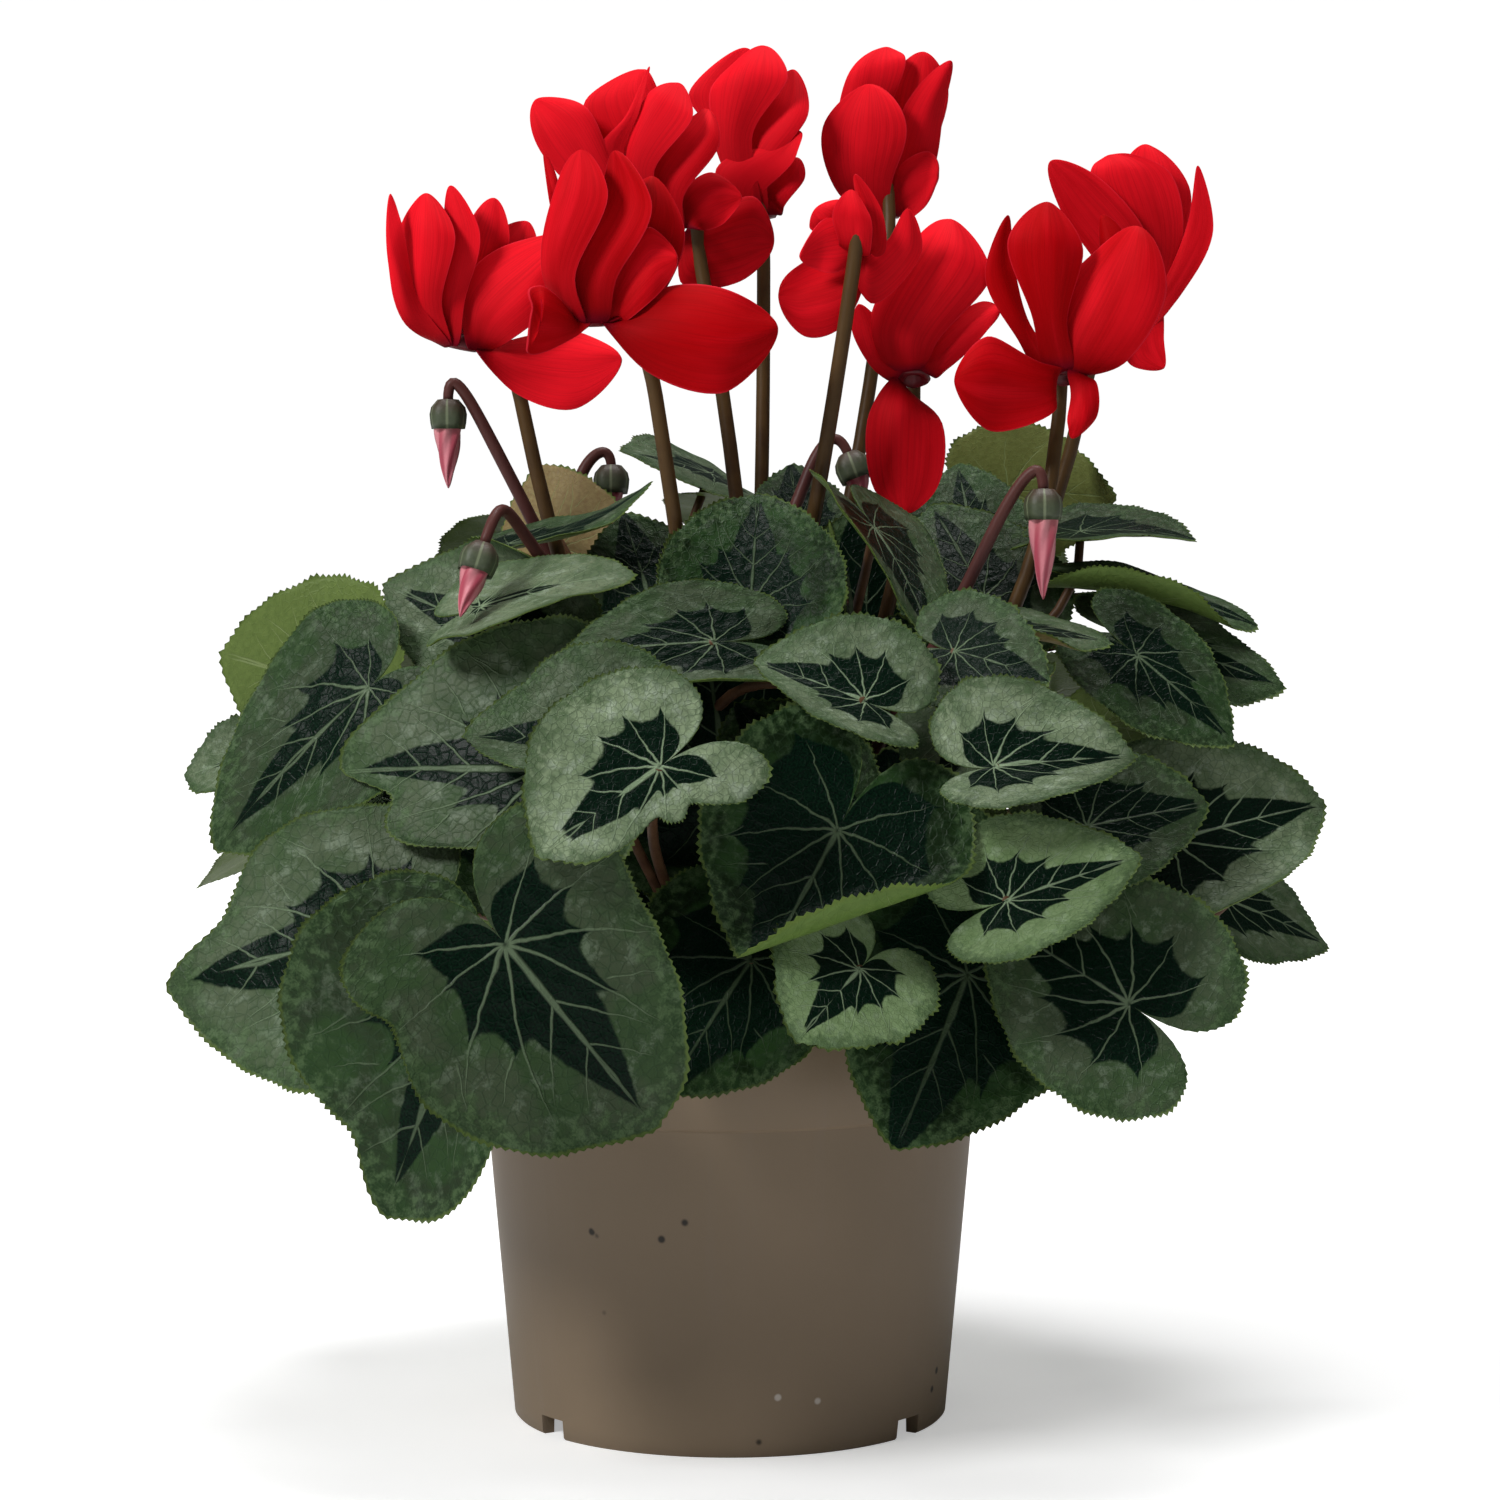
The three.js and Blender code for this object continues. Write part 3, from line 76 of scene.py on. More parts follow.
# Each leaf: name, hub, tip, the way its top faces, and what its shape has of its own.
LEAVES = (
    ("crest_olive_back", (75, 42, 239), (103, 30, 237), (0.1, 0.9, 0.35),
     {"cup": (0.3, 0.5), "wide": (1, 0.9)}),
    ("crest_silver", (-5, 44, 242), (-28, 24, 247), (0, -0.45, 1), {"cup": (-0.3, 0.3)}),
    ("crest_brown_left", (-44, 12, 224), (-50, 26, 246), (0, 0.9, 0.5), {"cup": (0.4, 0.4)}),
    ("crest_dark_middle", (18, 24, 231), (16, 36, 246), (0, -1, 0.5)),
    ("crest_silver_right", (63, 14, 228), (60, 28, 246), (0, -1, 0.6)),
    ("top_right_flat", (89, -15, 228), (118, -22, 226), (0, -0.2, 1), {"cup": (0.5, 0.3)}),
    ("top_right_rolled", (98, -30, 215), (133, -28, 204), (0.1, -0.35, 1),
     {"rolls": ((-90, 0.2, 5),), "wide": (0.5, 0.8)}),
    ("top_left_fold", (-55, -48, 202), (-86, -32, 215), (-0.1, -1, 0.35),
     {"rolls": ((-90, 0.35, 5),), "wide": (0.75, 1)}),
    ("top_left_trough", (-55, -36, 225), (-19, -34, 241), (0, -0.3, 1),
     {"cup": (0.6, 1.4), "wide": (0.35, 0.5), "bend": 0.5, "base": 0.4}),
    ("top_dark_left", (-20, -38, 211), (-27, -26, 233), (0.1, -1, 0.3)),
    ("top_right_broad", (65, -8, 211), (52, 12, 235), (0.2, -1, 0.5)),
    ("top_erect", (5, -66, 211), (7, -44, 238), (0, -1, 0.2), {"cup": (0.9, 0.9)}),
    ("top_right_vee", (35, -46, 229), (48, -66, 203), (0.7, -0.8, 0.2),
     {"cup": (0.2, 1.6), "wide": (0.7, 0.7)}),
    ("top_pale_edge", (28, -60, 211), (24, -52, 231), (0.9, -0.1, 0.1),
     {"cup": (0.5, 0.5), "wide": (0.6, 0.6)}),
    ("left_green_back", (-101, -12, 188), (-132, 2, 197), (-0.15, 1, 0.25),
     {"cup": (0.3, 0.5), "wide": (1.2, 1.25)}),
    ("left_pale_curl", (-125, -15, 170), (-140, -8, 165), (-0.3, -0.8, 0.6), {"cup": (1, 1)}),
    ("left_folded", (-88, -58, 190), (-127, -46, 149), (-0.5, -0.85, 0.25),
     {"cup": (0.5, 0.2), "rolls": ((70, 0.45, 5),), "bend": -0.3, "wide": (0.68, 0.66), "base": 0.5}),
    ("left_dark_low", (-87, -40, 162), (-119, -40, 147), (-0.2, -1, 0.3), {"wide": (0.8, 0.8)}),
    ("pale_cup", (-60, -60, 210), (-22, -66, 218), (0, -0.55, 1),
     {"cup": (0.6, 0.9), "wide": (0.6, 0.7), "base": 0.6}),
    ("right_red_under", (66, -66, 205), (92, -70, 201), (0, -0.4, 1),
     {"rolls": ((-90, 0.2, 5),), "wide": (0.6, 0.7)}),
    ("right_tip_high", (104, -40, 201), (139, -40, 189), (0.2, -0.9, 0.6),
     {"rolls": ((-90, 0.2, 5),), "wide": (0.55, 0.7)}),
    ("right_green_back", (91, -50, 181), (113, -40, 176), (0.1, 0.8, 0.6)),
    ("right_grey", (99, -50, 198), (123, -52, 176), (0.25, -1, 0.5), {"wide": (0.7, 0.8)}),
    ("right_grey_inner", (53, -80, 200), (75, -88, 193), (0, -1, 0.6)),
    ("dark_inner_top", (17, -72, 166), (1, -62, 187), (0, -1, 0.4)),
    ("tan_curl", (60, -86, 186), (46, -96, 162), (-0.5, -0.8, 0.4), {"cup": (1.5, 0.5)}),
    ("dark_rim_middle", (5, -70, 125), (-16, -86, 94), (0, -1, 0.35), {"rolls": ((90, 0.4, 3),)}),
    ("dark_rim_right", (57, -72, 122), (39, -84, 81), (0.1, -1, 0.2)),
    ("right_low_tip", (124, -30, 136), (153, -15, 122), (0.4, -0.8, 0.4), {"wide": (0.6, 0.6)}),
    ("right_low_green", (122, -45, 144), (101, -60, 139), (0, 0.8, 0.6), {"wide": (0.7, 0.7)}),
    ("right_far_big", (108, -52, 153), (148, -36, 161), (0.3, -0.9, 0.35),
     {"rolls": ((-80, 0.3, 5),), "wide": (0.87, 0.8)}),
    ("right_dark", (85, -80, 158), (115, -74, 163), (0.15, -1, 0.4), {"wide": (0.95, 0.8)}),
    ("right_low_heart", (94, -92, 117), (61, -78, 137), (0.25, -1, 0.1), {"bend": -0.2, "wide": (1, 1.05)}),
    ("centre_shelf", (-4, -80, 202), (-40, -90, 199), (0, -1, 0.6),
     {"rolls": ((90, 0.2, 6),), "wide": (0.6, 0.66)}),
    ("left_mid", (-30, -98, 180), (-63, -88, 180), (0, -1, 0.4),
     {"wide": (0.45, 1), "swells": ((-30, -0.08, 18),)}),
    ("left_long", (-45, -88, 172), (-98, -64, 170), (-0.1, -1, 0.45),
     {"cup": (-0.6, 0.2), "wide": (0.8, 0.95), "base": 0.8,
      "swells": ((12, -0.24, 11), (75, -0.4, 36), (-25, -0.06, 15))}),
    ("centre_dark_big", (25, -96, 159), (3, -108, 132), (0.05, -1, 0.25),
     {"rolls": ((45, 0.35, 6),), "wide": (1.15, 1.15), "base": 1.15}),
    ("centre_twisted", (31, -104, 189), (5, -100, 198), (0, -1, 0.5), {"wide": (0.45, 1.1)}),
    ("right_round", (61, -106, 174), (95, -98, 176), (0, -1, 0.45), {"wide": (0.92, 0.42), "base": 0.7}),
    ("right_light", (64, -110, 143), (96, -104, 153), (0.05, -1, 0.4), {"wide": (0.85, 0.6), "base": 0.9}),
    ("left_low_far", (-84, -80, 133), (-138, -58, 117), (-0.35, -0.85, 0.35),
     {"wide": (0.95, 0.9), "base": 0.7, "swells": ((-20, -0.14, 14), (-95, -0.15, 30))}),
    ("left_low_hang", (-61, -94, 118), (-82, -84, 66), (-0.25, -1, 0.15),
     {"wide": (0.75, 1.05), "base": 0.8,
      "swells": ((-19, -0.16, 15), (-70, 0.08, 30), (24, 0.08, 15), (60, -0.2, 25))}),
    ("left_low_big", (-51, -112, 135), (-17, -96, 90), (-0.05, -1, 0.3),
     {"base": 0.72,
      "swells": ((-95, -0.22, 20), (-130, 0.06, 20), (-35, 0.06, 18), (72, -0.22, 35), (12, 0.05, 10))}),
    ("centre_low_round", (30, -112, 127), (15, -122, 111), (0, -1, 0.35), {"wide": (1.2, 1.3)}),
    ("hero_front", (-16, -118, 175), (-43, -124, 155), (0.05, -1, 0.35),
     {"wide": (1, 1.05), "cup": (-0.3, 0.1),
      "swells": ((-45, 0.16, 35), (50, -0.5, 25), (95, -0.5, 24), (148, 0.15, 20))}),
    ("back_top_left", (-50, 50, 226), (-78, 74, 212), (-0.5, 0.6, 0.8)),
    ("back_top", (8, 62, 234), (8, 98, 222), (0, 0.6, 1)),
    ("back_top_right", (58, 66, 222), (82, 92, 204), (0.5, 0.6, 0.8)),
    ("back_left", (-86, 52, 188), (-120, 74, 164), (-0.8, 0.7, 0.6)),
    ("back_middle_left", (-34, 96, 190), (-46, 128, 162), (-0.2, 1, 0.6)),
    ("back_middle_right", (34, 98, 190), (46, 130, 162), (0.3, 1, 0.6)),
    ("back_right", (88, 58, 184), (122, 80, 162), (0.8, 0.7, 0.6)),
    ("side_left", (-96, 14, 158), (-140, 30, 134), (-0.9, 0.3, 0.5)),
    ("side_right", (104, 22, 160), (142, 36, 134), (0.9, 0.3, 0.5)),
    ("side_left_high", (-74, 32, 206), (-106, 46, 192), (-0.7, 0.2, 0.8)),
    ("side_right_high", (92, 32, 200), (126, 42, 184), (0.8, 0.1, 0.8)),
    ("back_low_left", (-84, 58, 138), (-118, 86, 104), (-0.8, 0.7, 0.5)),
    ("back_low_middle_left", (-42, 96, 140), (-56, 128, 100), (-0.4, 1, 0.4)),
    ("back_low_middle", (6, 102, 142), (4, 138, 104), (0, 1, 0.4)),
    ("back_low_middle_right", (52, 94, 140), (70, 126, 102), (0.5, 1, 0.4)),
    ("back_low_right", (88, 56, 138), (124, 80, 106), (0.8, 0.7, 0.5)),
    # The inner leaves stand in the gaps among the others; their looks paint them nearly all dark, painted
    # shade.
    ("inner_middle", (0, -30, 165), (-8, -28, 210), (0, -1, 0.2), {"wide": (1.15, 1.15)}),
    ("inner_left", (-48, -30, 155), (-60, -28, 195), (-0.2, -1, 0.2)),
    ("inner_low_left", (-12, -40, 128), (-20, -42, 168), (0, -1, 0.2)),
    ("inner_low_right", (44, -36, 134), (38, -38, 176), (0.1, -1, 0.2)),
    ("inner_top_right", (36, 6, 198), (34, 8, 236), (0, -1, 0.2)),
    ("inner_high_right", (36, -24, 170), (42, -22, 208), (0.1, -1, 0.2)),
)

# Each bloom: its mouth's place, the way it faces, two points on the stem's straight stretch, and its petals.
# A petal is the x and z of two points up one side, the tip and two points down the other, then the depths of
# the first side, the tip and the other side.
BLOOMS = (
    ((-67, -25, 275), (-0.2, 0, -1), ((-46, -22, 228), (-52, -20, 258)), (
        (-14, 5, -17.5, 19.5, -17, 36.5, -14.5, 30, -10.5, 11, -10, -9, -10),
        (-13, 7.5, -15.5, 26.5, -8.5, 37, -1, 26, -4.5, 9.5, -6, -5, -10),
        (-6, 8, -4.5, 26.5, -2.5, 39, 5, 28, 1, 11, -4, -4, -8),
        (-1, 12, 2, 31, 8, 36.5, 12, 26.5, 7, 12, 2, 3, 0),
        (3, 10, 8, 27, 16, 31, 18.5, 25, 12, 10, 6, 7, 5),
        (0.5, 15, 12.5, 24.5, 26, 26.5, 25, 13, 13, 1, -2, -2, -6),
        (16, 2, 30.5, 2.5, 40, -4, 28.5, -16.5, 13, -12, 1, -3, -2),
    )),
    ((-33.5, -62, 279), (0, 0, -1), ((-11, -55, 216), (-18, -58, 261)), (
        (-8.5, 17, -9.5, 27.5, -11, 40, -8, 34, -5, 17, -4, -3, -4),
        (-11, 10, -8.5, 29, -2, 40, 4.5, 30, -3.5, 10, -6, -7, -12),
        (-5, 12, 2, 27.5, 6, 40, 15.5, 27.5, 6.5, 10, -4, -5, -10),
        (3, 12, 9, 29, 15, 34.5, 22.5, 20.5, 17, 6, 0, 2, -1),
        (5.5, 8.5, 14.5, 21.5, 21, 14.5, 17, 7, 9.5, 0, -3, -6, -5),
        (-4, -4.5, -14.5, -8.5, -13.5, 2, -12, 8, -5, 2, -9, -12, -9),
        (17.5, 7.5, 34, 6.5, 45, -2, 32.5, -17.5, 14, -12.5, -4, -3, -8),
    )),
    ((-9, 5, 307), (0, 0.15, -1), ((3, 0, 239), (-7, 8, 294)), (
        (-23.5, 3, -40, 20, -41, 31.5, -28, 29.5, -19, 12, -4, -2, -7),
        (-18, 14, -28.5, 30, -14.5, 40, -9.5, 35, -5, 16.5, 2, 4, 0),
        (-24, 18.5, -17.5, 27, -11.5, 39.5, -14, 28.5, -18, 16.5, -9, -7, -9),
        (-18, 14.5, -12, 31, -4, 35.5, -0.5, 26.5, -10.5, 12, -7, -5, -12),
        (-12, 13, -1.5, 27, 3.5, 29, 6.5, 20, -2.5, 7, -4, -3, -8),
        (-3, 8.5, 4.5, 13, 12, 7, 8, 1, 2.5, -1.5, -1, -3, -2),
        (6, 3, 15, 7.5, 20.5, -4, 13, -13.5, -3.5, -14.5, 6, 8, 8),
    )),
    ((8.5, 45, 313), (0.1, 0, -1), ((9, 36, 252), (9, 38, 299)), (
        (-14.5, 23, -19, 32.5, -4, 44.5, 1.5, 33, -3.5, 14, 5, 4, 3),
        (-12, 18, -13.5, 33, 0.5, 44, 6.5, 35, -2.5, 20, -6, -4, -11),
        (-8, 14, 0.5, 29, 8.5, 38, 12.5, 25, 2, 11, -3, -2, -8),
        (-12, 11, -0.5, 17.5, 10.5, 21, 9.5, 14.5, 0, 5, -5, -8, -9),
        (-1, 8, 4.5, 13, 10, 14.5, 11.5, 9, 6, 1.5, -2, -3, -4),
    )),
    ((42, 55, 314), (0, 0, -1), ((34, 40, 235), (42, 44, 300)), (
        (-14, 7.5, -16.5, 23.5, -4.5, 33.5, 5.5, 23.5, 1.5, 8.5, -8, -9, -12),
        (-12.5, 17.5, -11, 34.5, 0, 44.5, 5, 41.5, 0.5, 25.5, -2, 1, -1),
        (0, 16, 2, 37, 10.5, 43.5, 17, 35, 12, 15, 3, 2, 3),
        (0, 12, 5, 28, 17.5, 40.5, 15.5, 27, 13, 11, -6, -3, -2),
        (4, 12, 12, 16, 14, 9, 11.5, 2, 6, -2, -6, -7, -4),
    )),
    ((31, -45, 301), (0, 0.9, -0.3), ((20, -50, 221), (30, -52, 292)), (
        (-6, -0.5, -11.5, 1, -10, 6, -3, 8, 0.5, 5, -3, -4, -5),
        (-2, -8, -9, -9, -14, -6, -8, 3, 0.5, 5, -2, -6, -6),
        (-2, -21, -12.5, -25, -19, -15, -13.5, -7, -1, -3, 3, 4, 1),
        (0.5, 0.5, -0.5, 9, -0.5, 14, 6, 6, 6.5, -5, -3, -5, -3),
        (2, -6, 8, -1, 12.5, 6, 16, -5, 4, -17, -1, -2, 1),
    )),
    ((46, -28, 267), (0, -0.5, -0.85), ((44, -22, 222), (46, -18, 250)), (
        (-12, 3.5, -15.5, 11.5, -14, 17.5, -9, 13, -7, 4.5, -4, -5, -2),
        (-11.5, 11, -1.5, 32, 9, 38.5, 18, 25, 5.5, 8, -5, -3, -10),
        (3.5, 8, 16.5, 18.5, 21, 16, 17.5, 10, 8, 1.5, -4, -6, -6),
        (-6, 12, -2, 30, 4, 36, 12, 32, 6, 12, 4, 5, 4),
        (7, -13, 4.5, -29, -2.5, -34.5, -9.5, -29.5, -11.5, -10, -9, -9, -7),
    )),
    ((83, -35, 267), (0, -0.4, -0.9), ((80, -34, 236), (82, -30, 256)), (
        (-11.5, 8, -20, 24.5, -14.5, 39, -13, 28, -9, 13, -3, -4, -2),
        (-8.5, 14, -14.5, 32.5, -5, 42, 3, 31.5, 0, 13, -8, -6, -10),
        (4.5, 13, 8.5, 27, 9.5, 39.5, 14.5, 34.5, 10.5, 17, 2, 3, 0),
        (-4, 10, 2.5, 26.5, 17.5, 36, 24.5, 20.5, 14.5, 3, -5, -7, -11),
        (-3, -9, -18, -14, -28, -2, -20, 8.5, -6, 2.5, -11, -11, -9),
        (7.5, -2.5, 7, -11, 1, -16, 0, -12.5, 1, -5.5, -9, -10, -10),
    )),
    ((104, 30, 280), (0, 0.3, -1), ((88, 24, 238), (93, 22, 264)), (
        (2.5, 27, 1.5, 47, 6.5, 50.5, 18, 38, 13.5, 17.5, 4, 6, 3),
        (-0.5, 23.5, -9, 42.5, -4, 47, 11.5, 43, 15, 22.5, -2, -1, -4),
        (10.5, 13.5, 17, 29, 19, 44, 23, 27, 15, 10.5, -3, -5, -5),
        (-5.5, 15.5, -17, 32, -20, 45, -7, 40.5, 6.5, 23.5, -5, -7, -8),
        (10, 7.5, 10.5, -1, 10.5, -9, 3, -8.5, 0.5, -5, -3, -4, -2),
    )),
)

# Each bud: a point where its stem rises from the leaves, the top of the hook, the calyx and the bud's tip.
BUDS = (
    ((-54, -18, 239), (-68, -20, 266), (-71, -20, 260), (-71, -20, 239)),
    ((-44, -54, 219), (-53, -62, 232), (-59, -75, 224), (-64, -80, 208)),
    ((-40, 14, 240), (-36, 15, 249), (-31, 15, 244), (-31, 14, 231)),
    ((19, 4, 240), (24, 5, 252), (31, 5, 247), (35, 3, 236)),
    ((58, -66, 217), (70, -70, 243), (75, -71, 237), (75, -72, 212)),
)

# The looks of single leaves: silver, the dark centre's reach (1 where left out) and age (0 where left out),
# which makes the top limy below 0 and the underside tan above 0. Other leaves draw theirs. Silver and reach
# are partly the leaf's own marbling and partly painted shade: leaves that lie in shade get less silver and a
# wider dark centre, and the inner leaves are painted nearly all dark.
LOOKS = {
    "hero_front": (1.4,), "centre_low_round": (1.3, 1, -1), "right_light": (1.2, 1, -1),
    "right_round": (1.25, 1.05), "centre_twisted": (0.95, 1.1), "right_low_heart": (0.46, 1.1),
    "left_low_big": (0.42,), "left_low_hang": (0.26, 0.95), "left_low_far": (0.6, 1.05),
    "centre_dark_big": (0.14, 1.35), "dark_rim_right": (-0.1, 1.35), "dark_rim_middle": (-0.1, 1.3),
    "dark_inner_top": (0.25, 1.3),
    "crest_olive_back": (0.8, 1, 0.3), "crest_brown_left": (0.6, 1, 0.8), "tan_curl": (0.6, 1, 0.9),
    "left_pale_curl": (0.9, 0.4, 0.6), "right_red_under": (0.7, 1, 0.7), "pale_cup": (1.0, 0.5, 0.1),
    "top_left_fold": (0.75,), "crest_silver": (0.7,), "left_dark_low": (0.25, 1.3), "right_dark": (0.4, 1.2),
    "right_grey_inner": (0.5, 1.2), "right_far_big": (1.1, 1.1), "top_dark_left": (0.3, 1.3),
    "centre_shelf": (0.5, 1.1), "left_mid": (0.6,), "left_long": (0.6,), "left_folded": (0.36,),
    "crest_dark_middle": (0.3, 1.3), "right_grey": (0.28, 1.1), "right_tip_high": (0.5, 1.1),
    "top_right_broad": (0.34, 1.1), "top_erect": (0.12, 1.1), "inner_top_right": (0.25, 1.4),
    **{f"inner_{place}": (0.2, 1.4) for place in ("middle", "left", "low_left", "low_right", "high_right")},
}
# A small petal that folds round the top of a stem.
EXTRA_PETALS = {"bloom_6": ((-4.5, -2, -6, 4, -1.5, 10, 3, 3, 3.2, -5, -9.5, -7, -9),)}
# How much painted light each bloom gets, from deep to lit, and how much smaller its mouth ring is than the
# others'.
BLOOM_PAINTED_LIGHT = (0.75, 0.3, 0.75, 1.15, 0.95, 0.7, 0.75, 0.25, 0.7)
SMALL_RINGS = {"bloom_3": (0.6, 0.7)}


# ---------- Curves and frames ----------
def unit(v):
    return v / np.linalg.norm(v)


def across_of(v, along):
    return unit(v - along * np.dot(v, along))


def circle(angles, radius, across, third):
    return np.outer(radius * np.cos(angles), across) + np.outer(radius * np.sin(angles), third)


def turn_of(count):
    return 2 * math.pi * np.arange(count) / count


def bezier(controls, t):
    a, b, c, d = controls
    t = np.asarray(t, float)[..., None]
    s = 1 - t
    return a * s**3 + b * 3 * s * s * t + c * 3 * s * t * t + d * t**3


def tube_rings(centres, radii, sides):
    """Rings of a tube through centre points, turned as little as possible from one to the next."""
    rings = []
    across = np.array([1.0, 0.0, 0.0])
    last = len(centres) - 1
    for i, centre in enumerate(centres):
        along = UP if i == 0 else unit(centres[min(i + 1, last)] - centres[i - 1])
        across = across_of(across, along)
        rings.append(centre + circle(turn_of(sides), radii[i], across, np.cross(along, across)))
    return np.array(rings)


# ---------- Leaf blades ----------
def heart_radius(degrees, swells):
    a = np.abs(degrees)
    body = 0.685 + 0.315 * np.exp(-((a / 29) ** 1.15))
    heart = body * (1 - 0.9 * np.exp(-((np.clip(180 - a, 0, None) / 13) ** 1.1)))
    return heart * (1 + sum(by * np.exp(-(((degrees - at) / spread) ** 2)) for at, by, spread in swells))


def arc(curl, reach):
    safe = np.where(np.abs(curl) < 1e-4, 1, curl)
    return np.where(np.abs(curl) < 1e-4, reach, np.sin(safe * reach) / safe)


def rise(curl, reach):
    safe = np.where(np.abs(curl) < 1e-4, 1, curl)
    return np.where(np.abs(curl) < 1e-4, 0, (1 - np.cos(safe * reach)) / safe)


def shaped(shape, u, v, ripple=0.0):
    """Points of the flat leaf on the shaped one: rims rolled, halves cupped about the midrib, midrib bent."""
    u, v = np.asarray(u, float), np.asarray(v, float)
    angle = np.arctan2(v, u)
    square = u * u + v * v
    phase = shape["phase"]
    along = np.where(u < 0, u * shape["base"], u)
    across = v * np.where(v > 0, *shape["wide"])
    lift = shape["wave"] * square * np.sin(5 * angle + phase)
    lift = lift + ripple * square * (np.sin(9 * angle + 2.1 * phase) + 0.5 * np.sin(17 * angle + phase))
    for heading, start, curl in shape["rolls"]:
        c, s = math.cos(math.radians(heading)), math.sin(math.radians(heading))
        reach = np.clip(along * c + across * s - start, 0, None)
        kept = arc(curl, reach) - reach
        lift = lift + rise(curl, reach)
        along, across = along + kept * c, across + kept * s
    curl = np.where(across > 0, *shape["cup"])
    side = arc(curl, across) - lift * np.sin(curl * across)
    height = rise(curl, across) + lift * np.cos(curl * across)
    bend = shape["bend"]
    ahead = arc(bend, along) - height * np.sin(bend * along)
    return np.stack([ahead, side, rise(bend, along) + height * np.cos(bend * along)], -1)


def blade_placer(leaf):
    """The scale and turn that take the shaped leaf's hub and tip to their places."""
    chord = shaped(leaf["shape"], 1.0, 0.0)
    local_along = unit(chord)
    local_up = across_of(UP, local_along)
    local = np.stack([local_along, np.cross(local_up, local_along), local_up])
    reach = leaf["tip"] - leaf["hub"]
    along = unit(reach)
    up = across_of(leaf["facing"], along)
    world = np.stack([along, np.cross(up, along), up])
    return np.linalg.norm(reach) / np.linalg.norm(chord) * (local.T @ world)


def blade_surface(leaf, u, v, ripple=0.0):
    """Points and normals of a leaf's middle surface."""
    turn = blade_placer(leaf)
    steps = ((0, 0), (0.01, 0), (0, 0.01))
    placed = (shaped(leaf["shape"], u + du, v + dv, ripple) @ turn + leaf["hub"] for du, dv in steps)
    here, ahead, aside = placed
    normal = np.cross(ahead - here, aside - here)
    return here, normal / np.linalg.norm(normal, axis=-1, keepdims=True)


def solid_blade_points(leaf):
    """The corners that the leaf's solid has, on both of its faces."""
    large = np.linalg.norm(leaf["tip"] - leaf["hub"]) >= BLADE["large_from"]
    edge = BLADE["large_points" if large else "small_points"]
    rows = [(np.zeros(1), np.zeros(1))]
    for count, share, tooth in ((edge // 2, BLADE["inner"], 0), (edge, 1, BLADE["tooth"])):
        i = np.arange(count)
        degrees = 360 * i / count - 180
        radius = share * heart_radius(degrees, leaf["shape"]["swells"]) * np.where(i % 2, 1, 1 - tooth)
        rows.append((radius * np.cos(np.radians(degrees)), radius * np.sin(np.radians(degrees))))
    here, normal = blade_surface(leaf, *(np.concatenate(part) for part in zip(*rows)))
    half = BLADE["thickness"] / 2
    return np.concatenate([here + half * normal, here - half * normal])


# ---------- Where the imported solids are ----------
low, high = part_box("pot")
AXIS = np.array([(low.x + high.x) / 2, (low.y + high.y) / 2, 0.0]) * 1000
NEAR = 0.03


def corners(name):
    """A solid's corners in millimetres from the pot's axis."""
    return np.array([v.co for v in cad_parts[name].data.vertices], float) * 1000 - AXIS


def tree_of(points):
    tree = kdtree.KDTree(len(points))
    for i, p in enumerate(points):
        tree.insert(Vector(p), i)
    tree.balance()
    return tree


def matches(tree, points):
    """How many points have a corner at their place."""
    return sum(tree.find(Vector(p))[2] < NEAR for p in points)


def root_foot(k):
    radius = ROOT["spread"] * math.sqrt((k + 0.5) / ROOT["count"])
    angle = math.radians(k * ROOT["turn"])
    share = radius / CORM["radius"]
    top = CORM["centre"] + CORM["height"] / 2 * math.sqrt(1 - share * share)
    return np.array([radius * math.cos(angle), radius * math.sin(angle), top - ROOT["depth"] + 0.3])


FEET = [root_foot(k) for k in range(ROOT["count"])]


def best_route(name, tree, options, route, radii, sides, enough, least):
    """The curves, of those from each foot with each option, that most of the solid's lowest corners fit."""
    best, most = None, -1
    for foot in FEET:
        if matches(tree, [foot + [radii[0], 0, 0]]) == 0:
            continue
        for option in options:
            curves = route(foot, option)
            rise_points = [bezier(curve, STEPS) for curve in curves]
            centres = np.vstack([foot, foot + UP * ROOT["depth"], *rise_points])
            score = matches(tree, tube_rings(centres, radii, sides)[2:5].reshape(-1, 3))
            if score > most:
                best, most = curves, score
            if score >= enough:
                return best
    if most < least:
        print("route not found", name, most)
    return best


def find_leaves():
    """Each leaf as its solid lies: how far it was moved out, the node it is in and its petiole's route."""
    names = sorted(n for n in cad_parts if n.startswith("leaves"))
    trees = {n: tree_of(corners(n)) for n in names}
    found = []
    for i, (name, hub, tip, facing, *shape) in enumerate(LEAVES):
        hub, tip, facing = (np.array(v, float) for v in (hub, tip, facing))
        leaf = {"name": name, "hub": hub, "tip": tip, "facing": facing}
        leaf["shape"] = {**SHAPE, "phase": i, **dict(*shape)}
        out = np.array([0.0, -1.0, 0.0]) if hub[1] < 30 else unit(np.array([hub[0], hub[1], 20.0]))
        few = solid_blade_points(leaf)[::5]
        score, j, node = min(
            (-matches(trees[n], few + out * k * PUSH_STEP), j, n) for j, k in enumerate(PUSHES) for n in names
        )
        if -score < 4:
            print("leaf not found", name, score)
        moved = out * PUSHES[j] * PUSH_STEP
        leaf.update(hub=hub + moved, tip=tip + moved, node=node)
        leaf["controls"] = find_petiole(leaf, trees[node])
        found.append(leaf)
    return found


ROUTES = [
    (swing, upright, square, drop)
    for swing in (0, 8, -8, 16, -16, 26, -26, 38, -38, 52, -52)
    for upright in (0.35, 0.6, 0.2, 0.85)
    for square in (0.3, 0.15, 0.5)
    for drop in (4, 20, -10)
]


